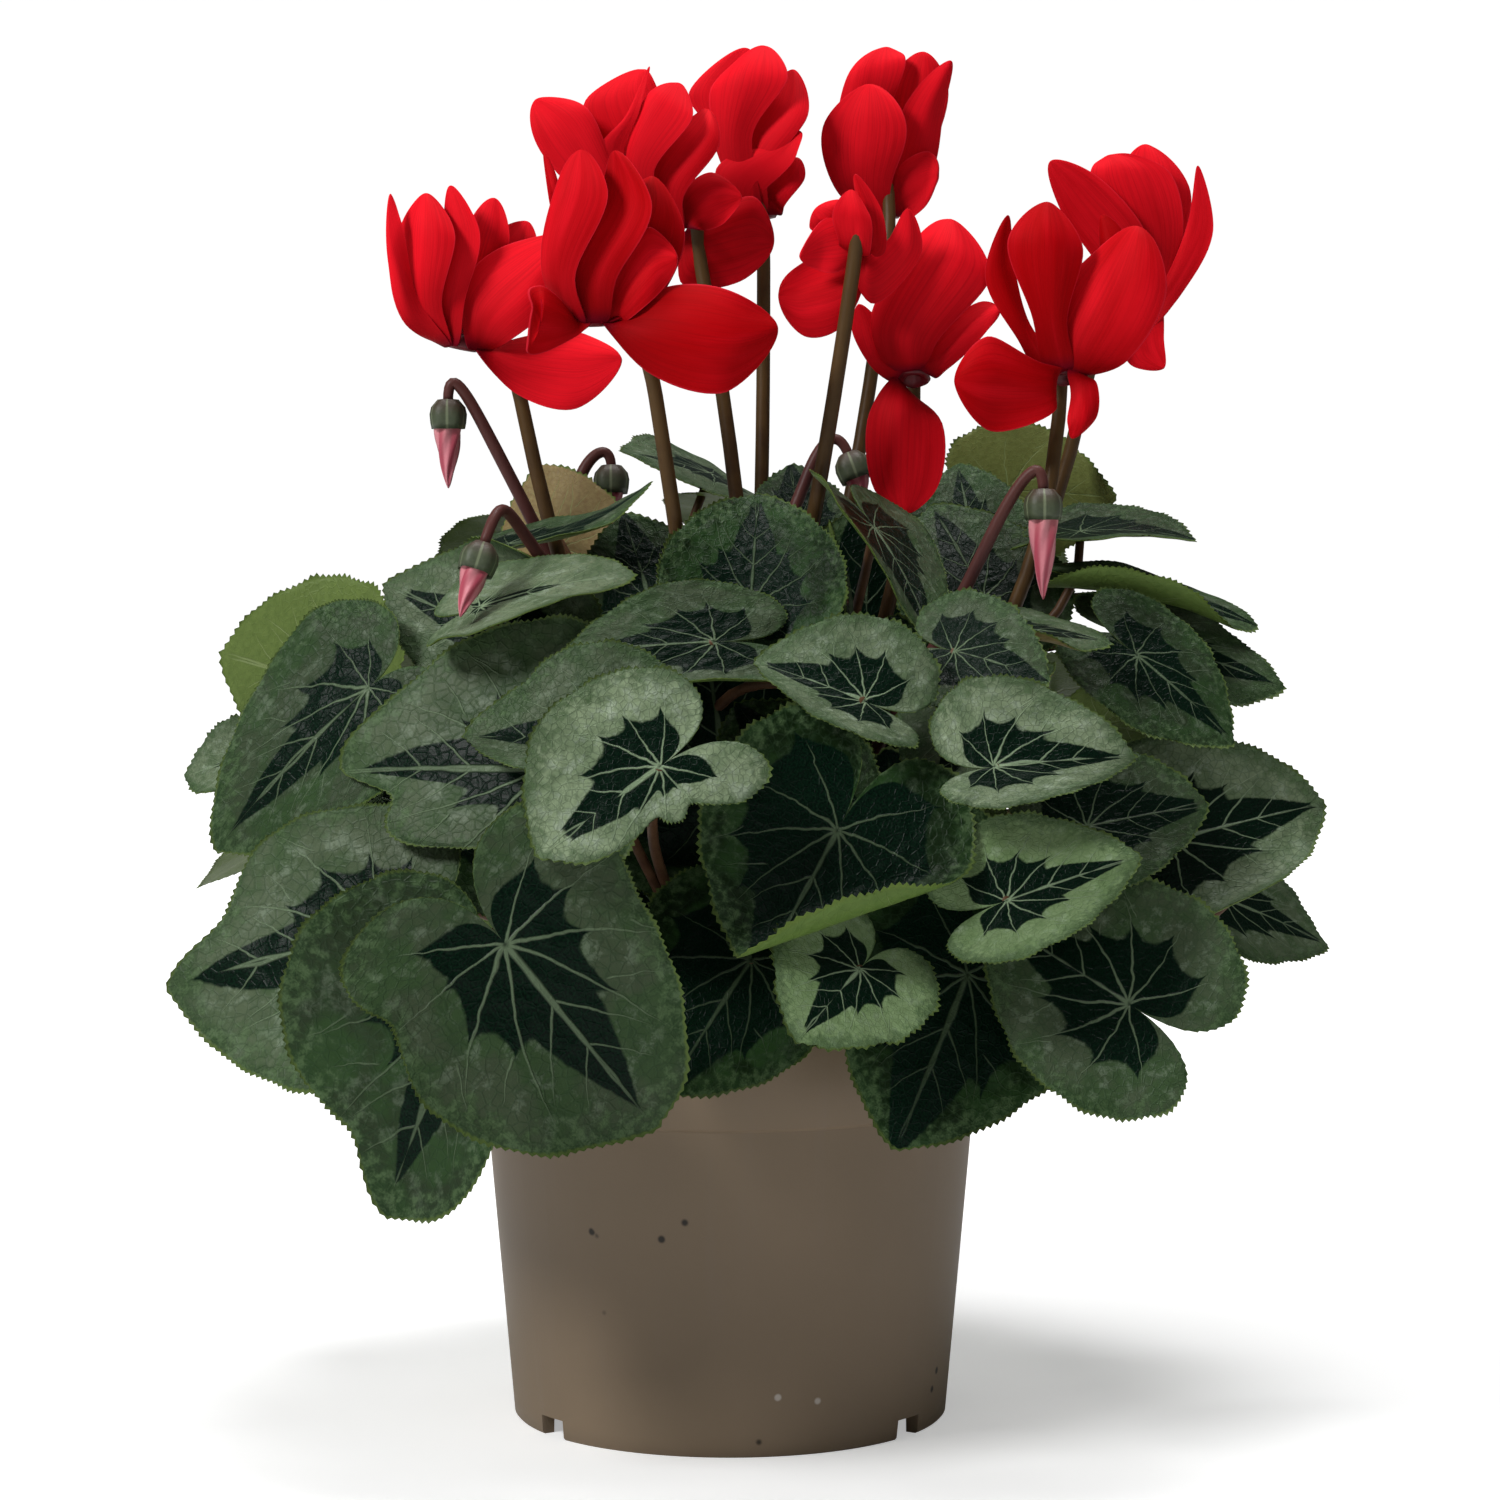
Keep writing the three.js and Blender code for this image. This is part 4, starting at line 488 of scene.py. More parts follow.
def find_petiole(leaf, tree):
    up = unit(UP @ blade_placer(leaf))
    hub = leaf["hub"] - 0.1 * up

    def route(foot, option):
        swing, upright, square, drop = option
        reach = np.linalg.norm(hub - foot)
        sideways = unit(np.array([foot[1] - hub[1], hub[0] - foot[0], 0]))
        second = foot + UP * upright * reach + sideways * swing
        third = hub - up * square * reach + sideways * swing / 2 - UP * drop
        return [np.array([foot, second, third, hub])]

    radii = np.linspace(PETIOLE["base"], PETIOLE["top"], 6)
    return best_route(leaf["name"], tree, ROUTES, route, radii, PETIOLE["sides"], 6, 3)[0]


SWINGS = [
    np.array([reach * math.cos(math.radians(45 * k)), reach * math.sin(math.radians(45 * k)), 0.0])
    for reach in (0, 7, 14, 22, 32)
    for k in range(8)
]


def find_stem(name, low_point, high_point, end, heading, extra):
    """The two cubics of a flower stem: up to its straight stretch, and over its hook."""
    straight = unit(high_point - low_point)
    bow = 0.6 * np.linalg.norm(high_point - end) + 2
    hook = np.array([high_point, high_point + straight * bow, end - heading * bow, end])

    def route(foot, swing):
        second = foot + UP * 0.35 * (high_point[2] - foot[2]) + swing
        third = high_point - straight * 0.55 * np.linalg.norm(high_point - foot)
        return np.array([foot, second, third, high_point]), hook

    rise_radii = np.linspace(STEM["base"], STEM["top"], 6)
    radii = extra + np.concatenate([rise_radii, np.linspace(STEM["top"], STEM["hook"], 5)[1:]])
    return best_route(name, tree_of(corners(name)), SWINGS, route, radii, STEM["sides"], 99, 6)


# ---------- Meshes ----------
def new_object(name, points, faces, materials, face_slots=None, attributes=None):
    mesh = bpy.data.meshes.new(name)
    mesh.from_pydata(((np.asarray(points) + AXIS) / 1000).tolist(), [], [list(f) for f in faces])
    for material in materials:
        mesh.materials.append(material)
    if face_slots is not None:
        mesh.polygons.foreach_set("material_index", np.asarray(face_slots, np.int32))
    mesh.polygons.foreach_set("use_smooth", np.ones(len(mesh.polygons), bool))
    for key, values in (attributes or {}).items():
        layer = mesh.attributes.new(key, "FLOAT_VECTOR", "POINT")
        layer.data.foreach_set("vector", np.asarray(values, np.float32).ravel())
    mesh.update()
    made = bpy.data.objects.new(name, mesh)
    bpy.context.scene.collection.objects.link(made)
    return made


class Shell:
    """Collects sheets and tubes into one mesh, with the two vectors on its points that the materials read."""

    def __init__(self):
        self.points, self.faces, self.slots, self.flat, self.tone = [], [], [], [], []
        self.count = 0

    def add(self, points, faces, slot, flat, tone=PLAIN):
        self.points.append(points)
        self.faces.extend([[i + self.count for i in f] for f in faces])
        self.slots.extend([slot] * len(faces))
        self.flat.append(flat)
        self.tone.append(np.tile(tone, (len(points), 1)))
        self.count += len(points)

    def build(self, name, materials):
        attributes = {"flat": np.concatenate(self.flat), "tone": np.concatenate(self.tone)}
        return new_object(name, np.concatenate(self.points), self.faces, materials, self.slots, attributes)


def grid_faces(rows, columns, closed, flip=False):
    faces = []
    for i in range(rows - 1):
        for k in range(columns if closed else columns - 1):
            n = (k + 1) % columns
            quad = [i * columns + k, i * columns + n, (i + 1) * columns + n, (i + 1) * columns + k]
            faces.append(quad[::-1] if flip else quad)
    return faces


def cap(row, columns, flip=False):
    """The face that closes a grid at one of its rows."""
    loop = [row * columns + k for k in range(columns)]
    return [loop[::-1] if flip else loop]


def add_tube(shell, centres, radii, sides, slot, tone=PLAIN):
    rows = len(centres)
    length = np.concatenate([[0], np.cumsum(np.linalg.norm(np.diff(centres, axis=0), axis=1))])
    flat = np.zeros((rows * sides, 3))
    flat[:, 0] = np.repeat(length, sides) / max(length[-1], 1e-6)
    faces = grid_faces(rows, sides, True) + cap(0, sides, True) + cap(rows - 1, sides)
    shell.add(tube_rings(centres, radii, sides).reshape(-1, 3), faces, slot, flat, tone)


# Rows of a blade's grid, as shares of the way from its hub to its edge.
SHARES = np.array([0.02, 0.09, 0.18, 0.28, 0.38, 0.48, 0.58, 0.68, 0.77, 0.85, 0.92, 0.97, 1.0])
# A blade's outline is about this many times as long as the blade, and a tooth is this wide.
OUTLINE_SHARE, TOOTH_WIDTH = 4.9, 1.7
BLADE_HALF, EDGE_HALF, PETAL_HALF = 0.25, 0.05, 0.25


def add_blade(shell, leaf, tone):
    """Both faces of a leaf as polar grids that share their toothed edge."""
    length = np.linalg.norm(leaf["tip"] - leaf["hub"])
    rows, columns = len(SHARES), 2 * int(np.clip(round(OUTLINE_SHARE * length / TOOTH_WIDTH), 56, 150))
    degrees = 360 * np.arange(columns) / columns - 180
    saw = np.random.default_rng(int(1000 * length)).uniform(0.5, 1.2, columns)
    saw = saw * np.where(np.arange(columns) % 2, 0.42, -0.42)
    turn = turn_of(columns)
    tooth = (saw + 0.3 * np.sin(17 * turn) + 0.3 * np.sin(9 * turn + 1)) / length
    at_edge = SHARES > 0.99
    radius = np.outer(SHARES, heart_radius(degrees, leaf["shape"]["swells"])) + np.outer(at_edge, tooth)
    u, v = (radius * np.cos(np.radians(degrees))).ravel(), (radius * np.sin(np.radians(degrees))).ravel()
    here, normal = blade_surface(leaf, u, v, 0.008)
    thick = normal * np.repeat(np.where(at_edge, EDGE_HALF, BLADE_HALF), columns)[:, None]
    flat = np.stack([u, v, np.repeat(SHARES, columns)], -1)
    shell.add(here + thick, grid_faces(rows, columns, True) + cap(0, columns, True), 0, flat, tone)
    first = shell.count
    shell.add(here - thick, grid_faces(rows, columns, True, True) + cap(0, columns), 1, flat, tone)
    edge, back = first - columns, first + (rows - 1) * columns
    for k in range(columns):
        n = (k + 1) % columns
        shell.faces.append([edge + k, back + k, back + n, edge + n])
        shell.slots.append(1)


def petal_outline(base, mouth, petal):
    """Corners of a petal's closed outline: claw, up one side, tip, down the other side, claw."""
    near, end, far = petal[10:]
    depths = (PETAL["lean"] * near, near, end, far, PETAL["lean"] * far)
    rim = [base + (x, y, z) for (x, z), y in zip(np.reshape(petal[:10], (5, 2)), depths)]
    out = across_of((rim[0] + rim[4]) / 2 - base, mouth)
    claw = np.cross(mouth, out)
    claw = claw * PETAL["claw"] * np.sign(np.dot(claw, rim[0] - rim[4]))
    root = base + out * PETAL["from"] + mouth * PETAL["drop"]
    return np.array([root + claw, *rim, root - claw])


def closed_curve(corners, place):
    """Points of a closed centripetal Catmull-Rom curve through the corners, one corner per unit of place."""
    n = len(corners)
    first = np.minimum(np.floor(place + 1e-9).astype(int), n - 1)
    t = (place - first)[:, None]
    p0, p1, p2, p3 = (corners[(first + k) % n] for k in (-1, 0, 1, 2))
    spans = ((p0, p1), (p1, p2), (p2, p3))
    d0, d1, d2 = (np.sqrt(np.linalg.norm(b - a, axis=1, keepdims=True)) for a, b in spans)
    start = ((p1 - p0) / d0 - (p2 - p0) / (d0 + d1) + (p2 - p1) / d1) * d1
    stop = ((p2 - p1) / d1 - (p3 - p1) / (d1 + d2) + (p3 - p2) / d2) * d1
    way = p2 - p1
    return p1 + start * t + (3 * way - 2 * start - stop) * t**2 + (start + stop - 2 * way) * t**3


def add_petal(shell, corners, lift, seed):
    """A petal spread between the two sides of its outline, bulged and softly ruffled, with both faces."""
    rng = np.random.default_rng(seed)
    rows, columns = 38, 19
    s = 1 - (1 - np.linspace(0, 1, rows)) ** 1.8
    t = np.sin(np.linspace(-1, 1, columns) * math.pi / 2)
    ruffles = rng.uniform(0, 6.28, 4)
    n = len(corners)
    first, last = closed_curve(corners, 3 * s), closed_curve(corners, n - 1 - 3 * s)
    ahead = (closed_curve(corners, 3 * s + 0.05) + closed_curve(corners, n - 1.05 - 3 * s) - first - last) / 2
    ahead[-1] = ahead[-2]
    points, normals = [], []
    for i in range(rows):
        spread = last[i] - first[i]
        width = np.linalg.norm(spread)
        if width > 0.5:
            across = spread / width
            normal = unit(np.cross(across, ahead[i]))
        free = math.sin(math.pi * min(s[i] / 0.9, 1) / 2) * min(1, (1 - s[i]) / 0.12 + 0.2)
        wave = np.sin(5.5 * s[i] + ruffles[0] + 1.6 * t) * (0.3 + 0.7 * np.abs(t)) * 0.075
        fold = np.sin(math.pi * t * 0.9 + ruffles[1] + 2 * s[i]) * 0.05
        curl = 0.045 * np.sin(11 * s[i] + ruffles[2] + t) * np.abs(t) ** 3
        height = width * (PETAL["dish"] / 2 * (1 - t * t) + free * (wave + fold + curl))
        shift = 0.018 * width * free * np.sin(9 * s[i] + ruffles[3] + 2 * np.sign(t)) * np.abs(t)
        row = (first[i] + last[i]) / 2 + np.outer(t / 2, spread)
        points.append(row + np.outer(shift, across) + np.outer(height, normal))
        tilt = np.outer(np.ones(columns), normal) + np.outer(0.4 * t, across)
        normals.append(tilt / np.linalg.norm(tilt, axis=1, keepdims=True))
    points, normals = np.concatenate(points), np.concatenate(normals)
    flat = np.stack([np.repeat(s, columns), np.tile(t, rows), np.zeros(rows * columns)], -1)
    # The tone's middle value is the petal's painted light level, from deep to lit.
    tone = [rng.uniform(0, 1), lift + rng.uniform(-0.2, 0.2), rng.uniform(0, 1)]
    start = shell.count
    shell.add(points + normals * PETAL_HALF, grid_faces(rows, columns, False, True), 0, flat, tone)
    shell.add(points - normals * PETAL_HALF, grid_faces(rows, columns, False), 2, flat, tone)
    loop = [*range(columns)] + [i * columns + columns - 1 for i in range(1, rows)]
    loop += [(rows - 1) * columns + k for k in range(columns - 2, -1, -1)]
    loop += [i * columns for i in range(rows - 2, 0, -1)]
    behind = rows * columns
    for a, b in zip(loop, loop[1:] + loop[:1]):
        shell.faces.append([start + a, start + b, start + b + behind, start + a + behind])
        shell.slots.append(0)


def add_lathe(shell, profile, segments, base, heading, slot, lobes, depth):
    """A turned form: profile of (radius, height) points along the heading, with lobes round it."""
    across = across_of(BACK, heading)
    third = np.cross(heading, across)
    angle = turn_of(segments)
    lobed = 1 + depth * np.cos(lobes * angle)
    points = [base + heading * h + circle(angle, r * lobed, across, third) for r, h in profile]
    n = len(profile)
    along = np.repeat(np.linspace(0, 1, n), segments)
    flat = np.stack([along, np.tile(angle, n), np.zeros(n * segments)], -1)
    shell.add(np.concatenate(points), grid_faces(n, segments, True), slot, flat)


# ---------- Materials ----------
def add_node(tree, kind, values, **settings):
    """A shader node with its settings; values gives each input its wire, socket or constant."""
    node = tree.nodes.new("ShaderNode" + kind)
    for key, value in settings.items():
        setattr(node, key, value)
    for slot, value in values.items():
        value = value.socket if isinstance(value, Wire) else value
        if isinstance(value, bpy.types.NodeSocket):
            tree.links.new(value, node.inputs[slot])
        else:
            node.inputs[slot].default_value = value
    return node


class Wire:
    """A number in a node tree, so that a pattern is written as a formula."""

    def __init__(self, tree, socket):
        self.tree, self.socket = tree, socket

    def node(self, operation, *values):
        made = add_node(self.tree, "Math", dict(enumerate((self, *values))), operation=operation)
        return Wire(self.tree, made.outputs[0])

    def __add__(self, other):
        return self.node("ADD", other)

    def __sub__(self, other):
        return self.node("SUBTRACT", other)

    def __mul__(self, other):
        return self.node("MULTIPLY", other)

    def ramp(self, start, end):
        """0 at start, 1 at end, smooth between."""
        made = add_node(self.tree, "MapRange", {0: self, 1: start, 2: end}, interpolation_type="SMOOTHSTEP")
        return Wire(self.tree, made.outputs[0])


class Paint:
    """One material's tree with the few helpers that the patterns need."""

    def __init__(self, name, roughness, **constants):
        self.material = bpy.data.materials.new(name)
        self.material.use_nodes = True
        self.tree = self.material.node_tree
        self.shader = self.tree.nodes["Principled BSDF"]
        self.shader.inputs["Roughness"].default_value = roughness
        for key, value in constants.items():
            self.shader.inputs[key.replace("_", " ")].default_value = value

    def socket(self, kind, values, output=0, **settings):
        return add_node(self.tree, kind, values, **settings).outputs[output]

    def attribute(self, name):
        """A vector attribute, whole and as three wires."""
        vector = self.socket("Attribute", {}, "Vector", attribute_name=name)
        split = add_node(self.tree, "SeparateXYZ", {0: vector})
        return vector, [Wire(self.tree, part) for part in split.outputs]

    def object_place(self):
        return self.socket("TexCoord", {}, "Object")

    def moved(self, vector, scale, offset=(0, 0, 0)):
        """vector times scale, plus an offset; an offset wire goes on every axis."""
        return self.socket("VectorMath", {0: vector, 1: scale, 2: offset}, operation="MULTIPLY_ADD")

    def noise(self, vector, scale, detail=3, roughness=0.5):
        values = {"Vector": vector, "Scale": scale, "Detail": detail, "Roughness": roughness}
        return Wire(self.tree, self.socket("TexNoise", values))

    def cells(self, vector, scale, feature="DISTANCE_TO_EDGE"):
        return Wire(self.tree, self.socket("TexVoronoi", {"Vector": vector, "Scale": scale}, feature=feature))

    def mix(self, factor, a, b):
        a, b = ((*colour, 1) if isinstance(colour, tuple) else colour for colour in (a, b))
        return self.socket("Mix", {0: factor, 6: a, 7: b}, 2, data_type="RGBA")

    def finish(self, colour, height=None, strength=0.3, distance=0.001, roughness=None):
        self.tree.links.new(colour, self.shader.inputs["Base Color"])
        if height is not None:
            bump = self.socket("Bump", {"Strength": strength, "Distance": distance, "Height": height})
            self.tree.links.new(bump, self.shader.inputs["Normal"])
        if roughness is not None:
            self.tree.links.new(roughness.socket, self.shader.inputs["Roughness"])
        return self.material


# Veins of a half leaf: root u and v, heading from the tip's, length, width and bend towards the tip.
VEINS = (
    (0, 0, 0, 0.96, 0.021, 0), (0, 0, 34, 0.74, 0.012, -0.25), (0, 0, 66, 0.62, 0.013, -0.35),
    (0, 0, 100, 0.56, 0.012, -0.3), (0, 0, 138, 0.5, 0.011, -0.2), (0.3, 0, 46, 0.42, 0.009, -0.35),
    (0.52, 0, 42, 0.28, 0.008, -0.3), (0.36, 0.235, 62, 0.22, 0.007, -0.5), (0.24, 0.43, 30, 0.2, 0.006, 0.4),
)
# Where the dark centre reaches out to points, in radians from the tip, and half the way from one to the next.
POINTS, HALF_GAP = (0, 0.6, 1.15, 1.75, 2.4), 0.3


def leaf_pattern(paint):
    """Wires of the marbling: veins, scalloped dark centre, fringe, fine net, mottle and the leaf's silver,
    which also carries painted shade.
    """
    flat, (u, v, rho) = paint.attribute("flat")
    _, (seed, silver, dark) = paint.attribute("tone")
    place = paint.moved(flat, (1, 1, 0), seed)
    wander = paint.noise(place, 3.0, 2) - 0.5
    wobble = paint.noise(place, 9.0, 2) - 0.5
    side = v.node("ABSOLUTE")
    ahead, aside = u + wobble * 0.05, side + wander * 0.07
    veins = None
    for at_u, at_v, heading, length, width, bend in VEINS:
        c, s = math.cos(math.radians(heading)), math.sin(math.radians(heading))
        along = (ahead - at_u) * c + (aside - at_v) * s
        off = (aside - at_v) * c - (ahead - at_u) * s
        off = (off - along * along * bend).node("ABSOLUTE") if bend else off.node("ABSOLUTE")
        wide = along * (-width / length * 0.75) + width
        line = off.ramp(wide, wide * 0.3) * along.ramp(-0.01, 0.02) * along.ramp(length, length * 0.8)
        veins = line if veins is None else veins.node("MAXIMUM", line)
    # ARCTAN2 takes the first input over the second: the angle from the tip, 0 to pi on each half.
    angle = side.node("ARCTAN2", u)
    bent = angle + rho * angle.node("SINE") * 0.25 + wander * 0.35
    near = None
    for at in POINTS:
        away = (bent - at).node("ABSOLUTE")
        near = away if near is None else near.node("MINIMUM", away)
    share = (near * (1 / HALF_GAP)).node("MINIMUM", 1)
    scallop = (share * (share * -1 + 2)).node("SQRT")
    wedge = (angle * -2.6 + 1).node("MAXIMUM", 0)
    depth = wander * 0.16 + 0.15
    bound = dark * 0.6 + wedge * 0.3 - scallop * depth + wander * 0.22
    mottle = paint.noise(place, 22, 3) - 0.5
    centre = (rho - bound + mottle * 0.05).ramp(0.018, -0.018)
    fringe = (rho + mottle * 0.5 + wander * 0.3).ramp(0.78, 1.0)
    net = paint.cells(place, 22).ramp(0.0, 0.12)
    return {
        "rho": rho, "silver": silver, "veins": veins, "centre": centre, "fringe": fringe, "net": net,
        "mottle": mottle, "place": place,
    }


def leaf_top():
    paint = Paint("leaf_top", 0.5, Specular_IOR_Level=0.08)
    p = leaf_pattern(paint)
    fine = paint.noise(p["place"], 90, 2)
    # Silver sets how pale the top is; its low values on leaves that lie in shade are painted shade.
    pale = paint.mix((p["silver"] - 0.17) * 0.68, (0.006, 0.016, 0.004), (0.26, 0.335, 0.2))
    patch = paint.noise(p["place"], 4, 4).ramp(0.44, 0.62)
    pale = paint.mix(patch * (p["silver"] * -0.25 + 0.65), pale, (0.026, 0.068, 0.018))
    frost = paint.noise(p["place"], 11, 4, 0.7).ramp(0.5, 0.72) * p["silver"]
    pale = paint.mix(frost * 0.65, pale, (0.42, 0.5, 0.38))
    pale = paint.mix((p["mottle"] + 0.5).ramp(0.4, 0.75) * 0.4, pale, (0.028, 0.056, 0.024))
    pale = paint.mix(p["net"] * -0.3 + 0.3, pale, (0.02, 0.045, 0.02))
    pale = paint.mix(paint.attribute("age")[1][2] * -0.45, pale, (0.16, 0.27, 0.09))
    fringe = paint.mix((p["mottle"] + fine * 0.5).ramp(0.1, 0.45), (0.016, 0.04, 0.013), (0.07, 0.12, 0.05))
    colour = paint.mix(p["fringe"] * 0.75, pale, fringe)
    centre = paint.mix(fine.ramp(0.3, 0.7), (0.0004, 0.004, 0.002), (0.002, 0.014, 0.006))
    colour = paint.mix(p["centre"], colour, centre)
    vein = paint.mix(p["silver"], (0.055, 0.085, 0.045), (0.22, 0.3, 0.18))
    colour = paint.mix(p["veins"] * (p["rho"] * -0.55 + 0.95), colour, vein)
    colour = paint.mix(p["rho"].ramp(0.975, 0.992), colour, (0.075, 0.115, 0.03))
    quilt = paint.cells(p["place"], 6).ramp(0.0, 0.3)
    height = p["veins"] * -0.7 + p["net"] * 0.12 + quilt * 0.35 + fine * 0.12
    return paint.finish(colour, height, 0.55, 0.0012, p["centre"] * -0.04 + fine * 0.12 + 0.34)


def leaf_under():
    paint = Paint("leaf_under", 0.5, Specular_IOR_Level=0.15)
    p = leaf_pattern(paint)
    olive = paint.mix(p["mottle"] + 0.5, (0.07, 0.13, 0.025), (0.14, 0.22, 0.05))
    tan = paint.mix(p["mottle"] + 0.5, (0.16, 0.07, 0.03), (0.3, 0.22, 0.1))
    colour = paint.mix(paint.attribute("age")[1][2], olive, tan)
    colour = paint.mix(p["veins"] * 0.6, colour, (0.24, 0.3, 0.12))
    colour = paint.mix(p["rho"].ramp(0.97, 0.995), colour, (0.13, 0.2, 0.04))
    height = p["veins"] + p["net"] * 0.2
    return paint.finish(colour, height, 0.4, 0.0006)


def stem_paint(name, dark, light):
    paint = Paint(name, 0.45, Specular_IOR_Level=0.2)
    place = paint.object_place()
    along = paint.attribute("flat")[1][0]
    long = paint.noise(paint.moved(place, (1, 1, 0.06)), 900, 2)
    blotch = paint.noise(place, 120, 3)
    colour = paint.mix((along * 0.6 + blotch * 0.8 + long * 0.2).ramp(0.45, 1.1), dark, light)
    return paint.finish(colour, long, 0.25, 0.0003)


def petal_paint(name, deep, lit, shade):
    paint = Paint(name, 0.62, Specular_IOR_Level=0.04, Sheen_Weight=0.035, Sheen_Roughness=0.3)
    paint.shader.inputs["Sheen Tint"].default_value = (1, 0.2, 0.26, 1)
    flat, (s, t, _) = paint.attribute("flat")
    _, (seed, lift, _) = paint.attribute("tone")
    fan = paint.noise(paint.moved(flat, (0.35, 6, 0), seed), 5, 3)
    cloud = paint.noise(paint.moved(flat, (1, 1, 0), seed), 2, 2)
    edge = t.node("ABSOLUTE").ramp(0.95, 1.0)
    # Painted light and shade: each petal goes from deep to lit by a soft cloud and its painted light level.
    red = paint.mix((cloud * 0.7 + lift * 0.7).ramp(0.35, 1.0), deep, lit)
    # Lengthwise streaks toward the shade red: partly the petal's fine veining, partly painted shade along its
    # creases.
    red = paint.mix(fan.ramp(0.4, 0.7) * 0.2, red, shade)
    # Darker toward the claw, down to near black at the claw: partly the flower's own darker mouth, partly
    # painted shade.
    red = paint.mix(s.ramp(0.6, 0.08) * 0.65, red, shade)
    red = paint.mix(s.ramp(0.16, 0.02) * 0.8, red, (0.1, 0.0005, 0.008))
    # Painted highlight: a thin light line along the petal's sides.
    red = paint.mix(edge * s.ramp(0.1, 0.5) * 0.4, red, (0.85, 0.03, 0.06))
    return paint.finish(red, fan * 0.5 + cloud * 0.3, 0.15, 0.0004)


def mouth_paint():
    paint = Paint("petal_mouth", 0.5)
    # Dark crimson ring: partly the flower's own darker mouth, partly painted shade in the opening.
    grain = paint.noise(paint.object_place(), 700, 2)
    return paint.finish(paint.mix(grain, (0.07, 0.0004, 0.004), (0.2, 0.001, 0.008)), grain, 0.2, 0.0004)


def bud_paint():
    paint = Paint("bud_pink", 0.45, Specular_IOR_Level=0.35, Sheen_Weight=0.2)
    _, (along, turn, _) = paint.attribute("flat")
    spiral = (turn * 5 + along * 9).node("SINE").ramp(-1, 1)
    streak = paint.noise(paint.object_place(), 900, 2)
    pink = paint.mix(spiral, (0.42, 0.055, 0.09), (0.7, 0.24, 0.28))
    pink = paint.mix(along.ramp(0.5, 0.0) * 0.4, pink, (0.72, 0.5, 0.42))
    return paint.finish(paint.mix(streak * 0.3, pink, (0.5, 0.08, 0.13)), spiral, 0.3, 0.0006)


def calyx_paint():
    paint = Paint("calyx_green", 0.55)
    _, (along, turn, _) = paint.attribute("flat")
    seam = (turn * 2.5).node("COSINE").node("ABSOLUTE").ramp(0.3, 0.08)
    grain = paint.noise(paint.object_place(), 900, 3)
    green = paint.mix(grain, (0.03, 0.045, 0.022), (0.08, 0.1, 0.05))
    green = paint.mix(along.ramp(0.45, 0.15) * 0.75, green, (0.05, 0.02, 0.014))
    return paint.finish(paint.mix(seam * 0.6, green, (0.22, 0.26, 0.15)), grain, 0.3, 0.0004)


def pot_paint():
    paint = Paint("pot_taupe", 0.5, Specular_IOR_Level=0.35)
    place = paint.object_place()
    cloud = paint.noise(place, 14, 3)
    grain = paint.noise(place, 1400, 2)
    drag = paint.noise(paint.moved(place, (1, 1, 0.02)), 160, 3)
    taupe = paint.mix(cloud.ramp(0.3, 0.7), (0.2, 0.146, 0.093), (0.232, 0.17, 0.111))
    taupe = paint.mix(drag.ramp(0.55, 0.8) * 0.2, taupe, (0.22, 0.175, 0.14))
    speck = paint.cells(place, 110, "F1")
    rare = paint.noise(place, 60, 0).ramp(0.66, 0.68)
    taupe = paint.mix(speck.ramp(0.14, 0.06) * rare, taupe, (0.02, 0.015, 0.01))
    pale = paint.noise(place, 47, 0).ramp(0.69, 0.71)
    taupe = paint.mix(paint.cells(place, 83, "F1").ramp(0.1, 0.05) * pale, taupe, (0.5, 0.45, 0.4))
    return paint.finish(taupe, grain * 0.6 + drag * 0.4, 0.12, 0.0004, cloud * 0.15 + 0.42)


def peat_paint():
    paint = Paint("peat", 0.95)
    place = paint.object_place()
    clod = paint.noise(place, 260, 5, 0.65)
    fibre = paint.cells(place, 420, "F1")
    brown = paint.mix(clod.ramp(0.3, 0.7), (0.012, 0.008, 0.005), (0.06, 0.038, 0.022))
    brown = paint.mix(fibre.ramp(0.5, 0.8) * 0.5, brown, (0.1, 0.07, 0.04))
    return paint.finish(brown, clod + fibre * 0.4, 0.8, 0.003)


def corm_paint():
    paint = Paint("corm_cork", 0.85)
    place = paint.object_place()
    cork = paint.noise(place, 160, 5, 0.6)
    brown = paint.mix(cork.ramp(0.3, 0.7), (0.05, 0.03, 0.018), (0.16, 0.1, 0.06))
    return paint.finish(brown, cork, 0.7, 0.002)


def floor_paint():
    paint = Paint("floor_pale", 0.8)
    place = paint.object_place()
    soft = paint.noise(place, 6, 2)
    far = Wire(paint.tree, paint.socket("VectorMath", {0: place}, "Value", operation="LENGTH"))
    seen = Wire(paint.tree, paint.socket("LightPath", {}, "Is Camera Ray"))
    glow = (far.ramp(0.1, 1.6) * 0.6 + 0.4) * seen
    paint.tree.links.new(glow.socket, paint.shader.inputs["Emission Strength"])
    paint.shader.inputs["Emission Color"].default_value = WHITE
    return paint.finish(paint.mix(soft, (0.86, 0.86, 0.86), (0.9, 0.9, 0.9)))


# ---------- Pieces ----------
def own(piece, node):
    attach(piece, "root")
    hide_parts(node)


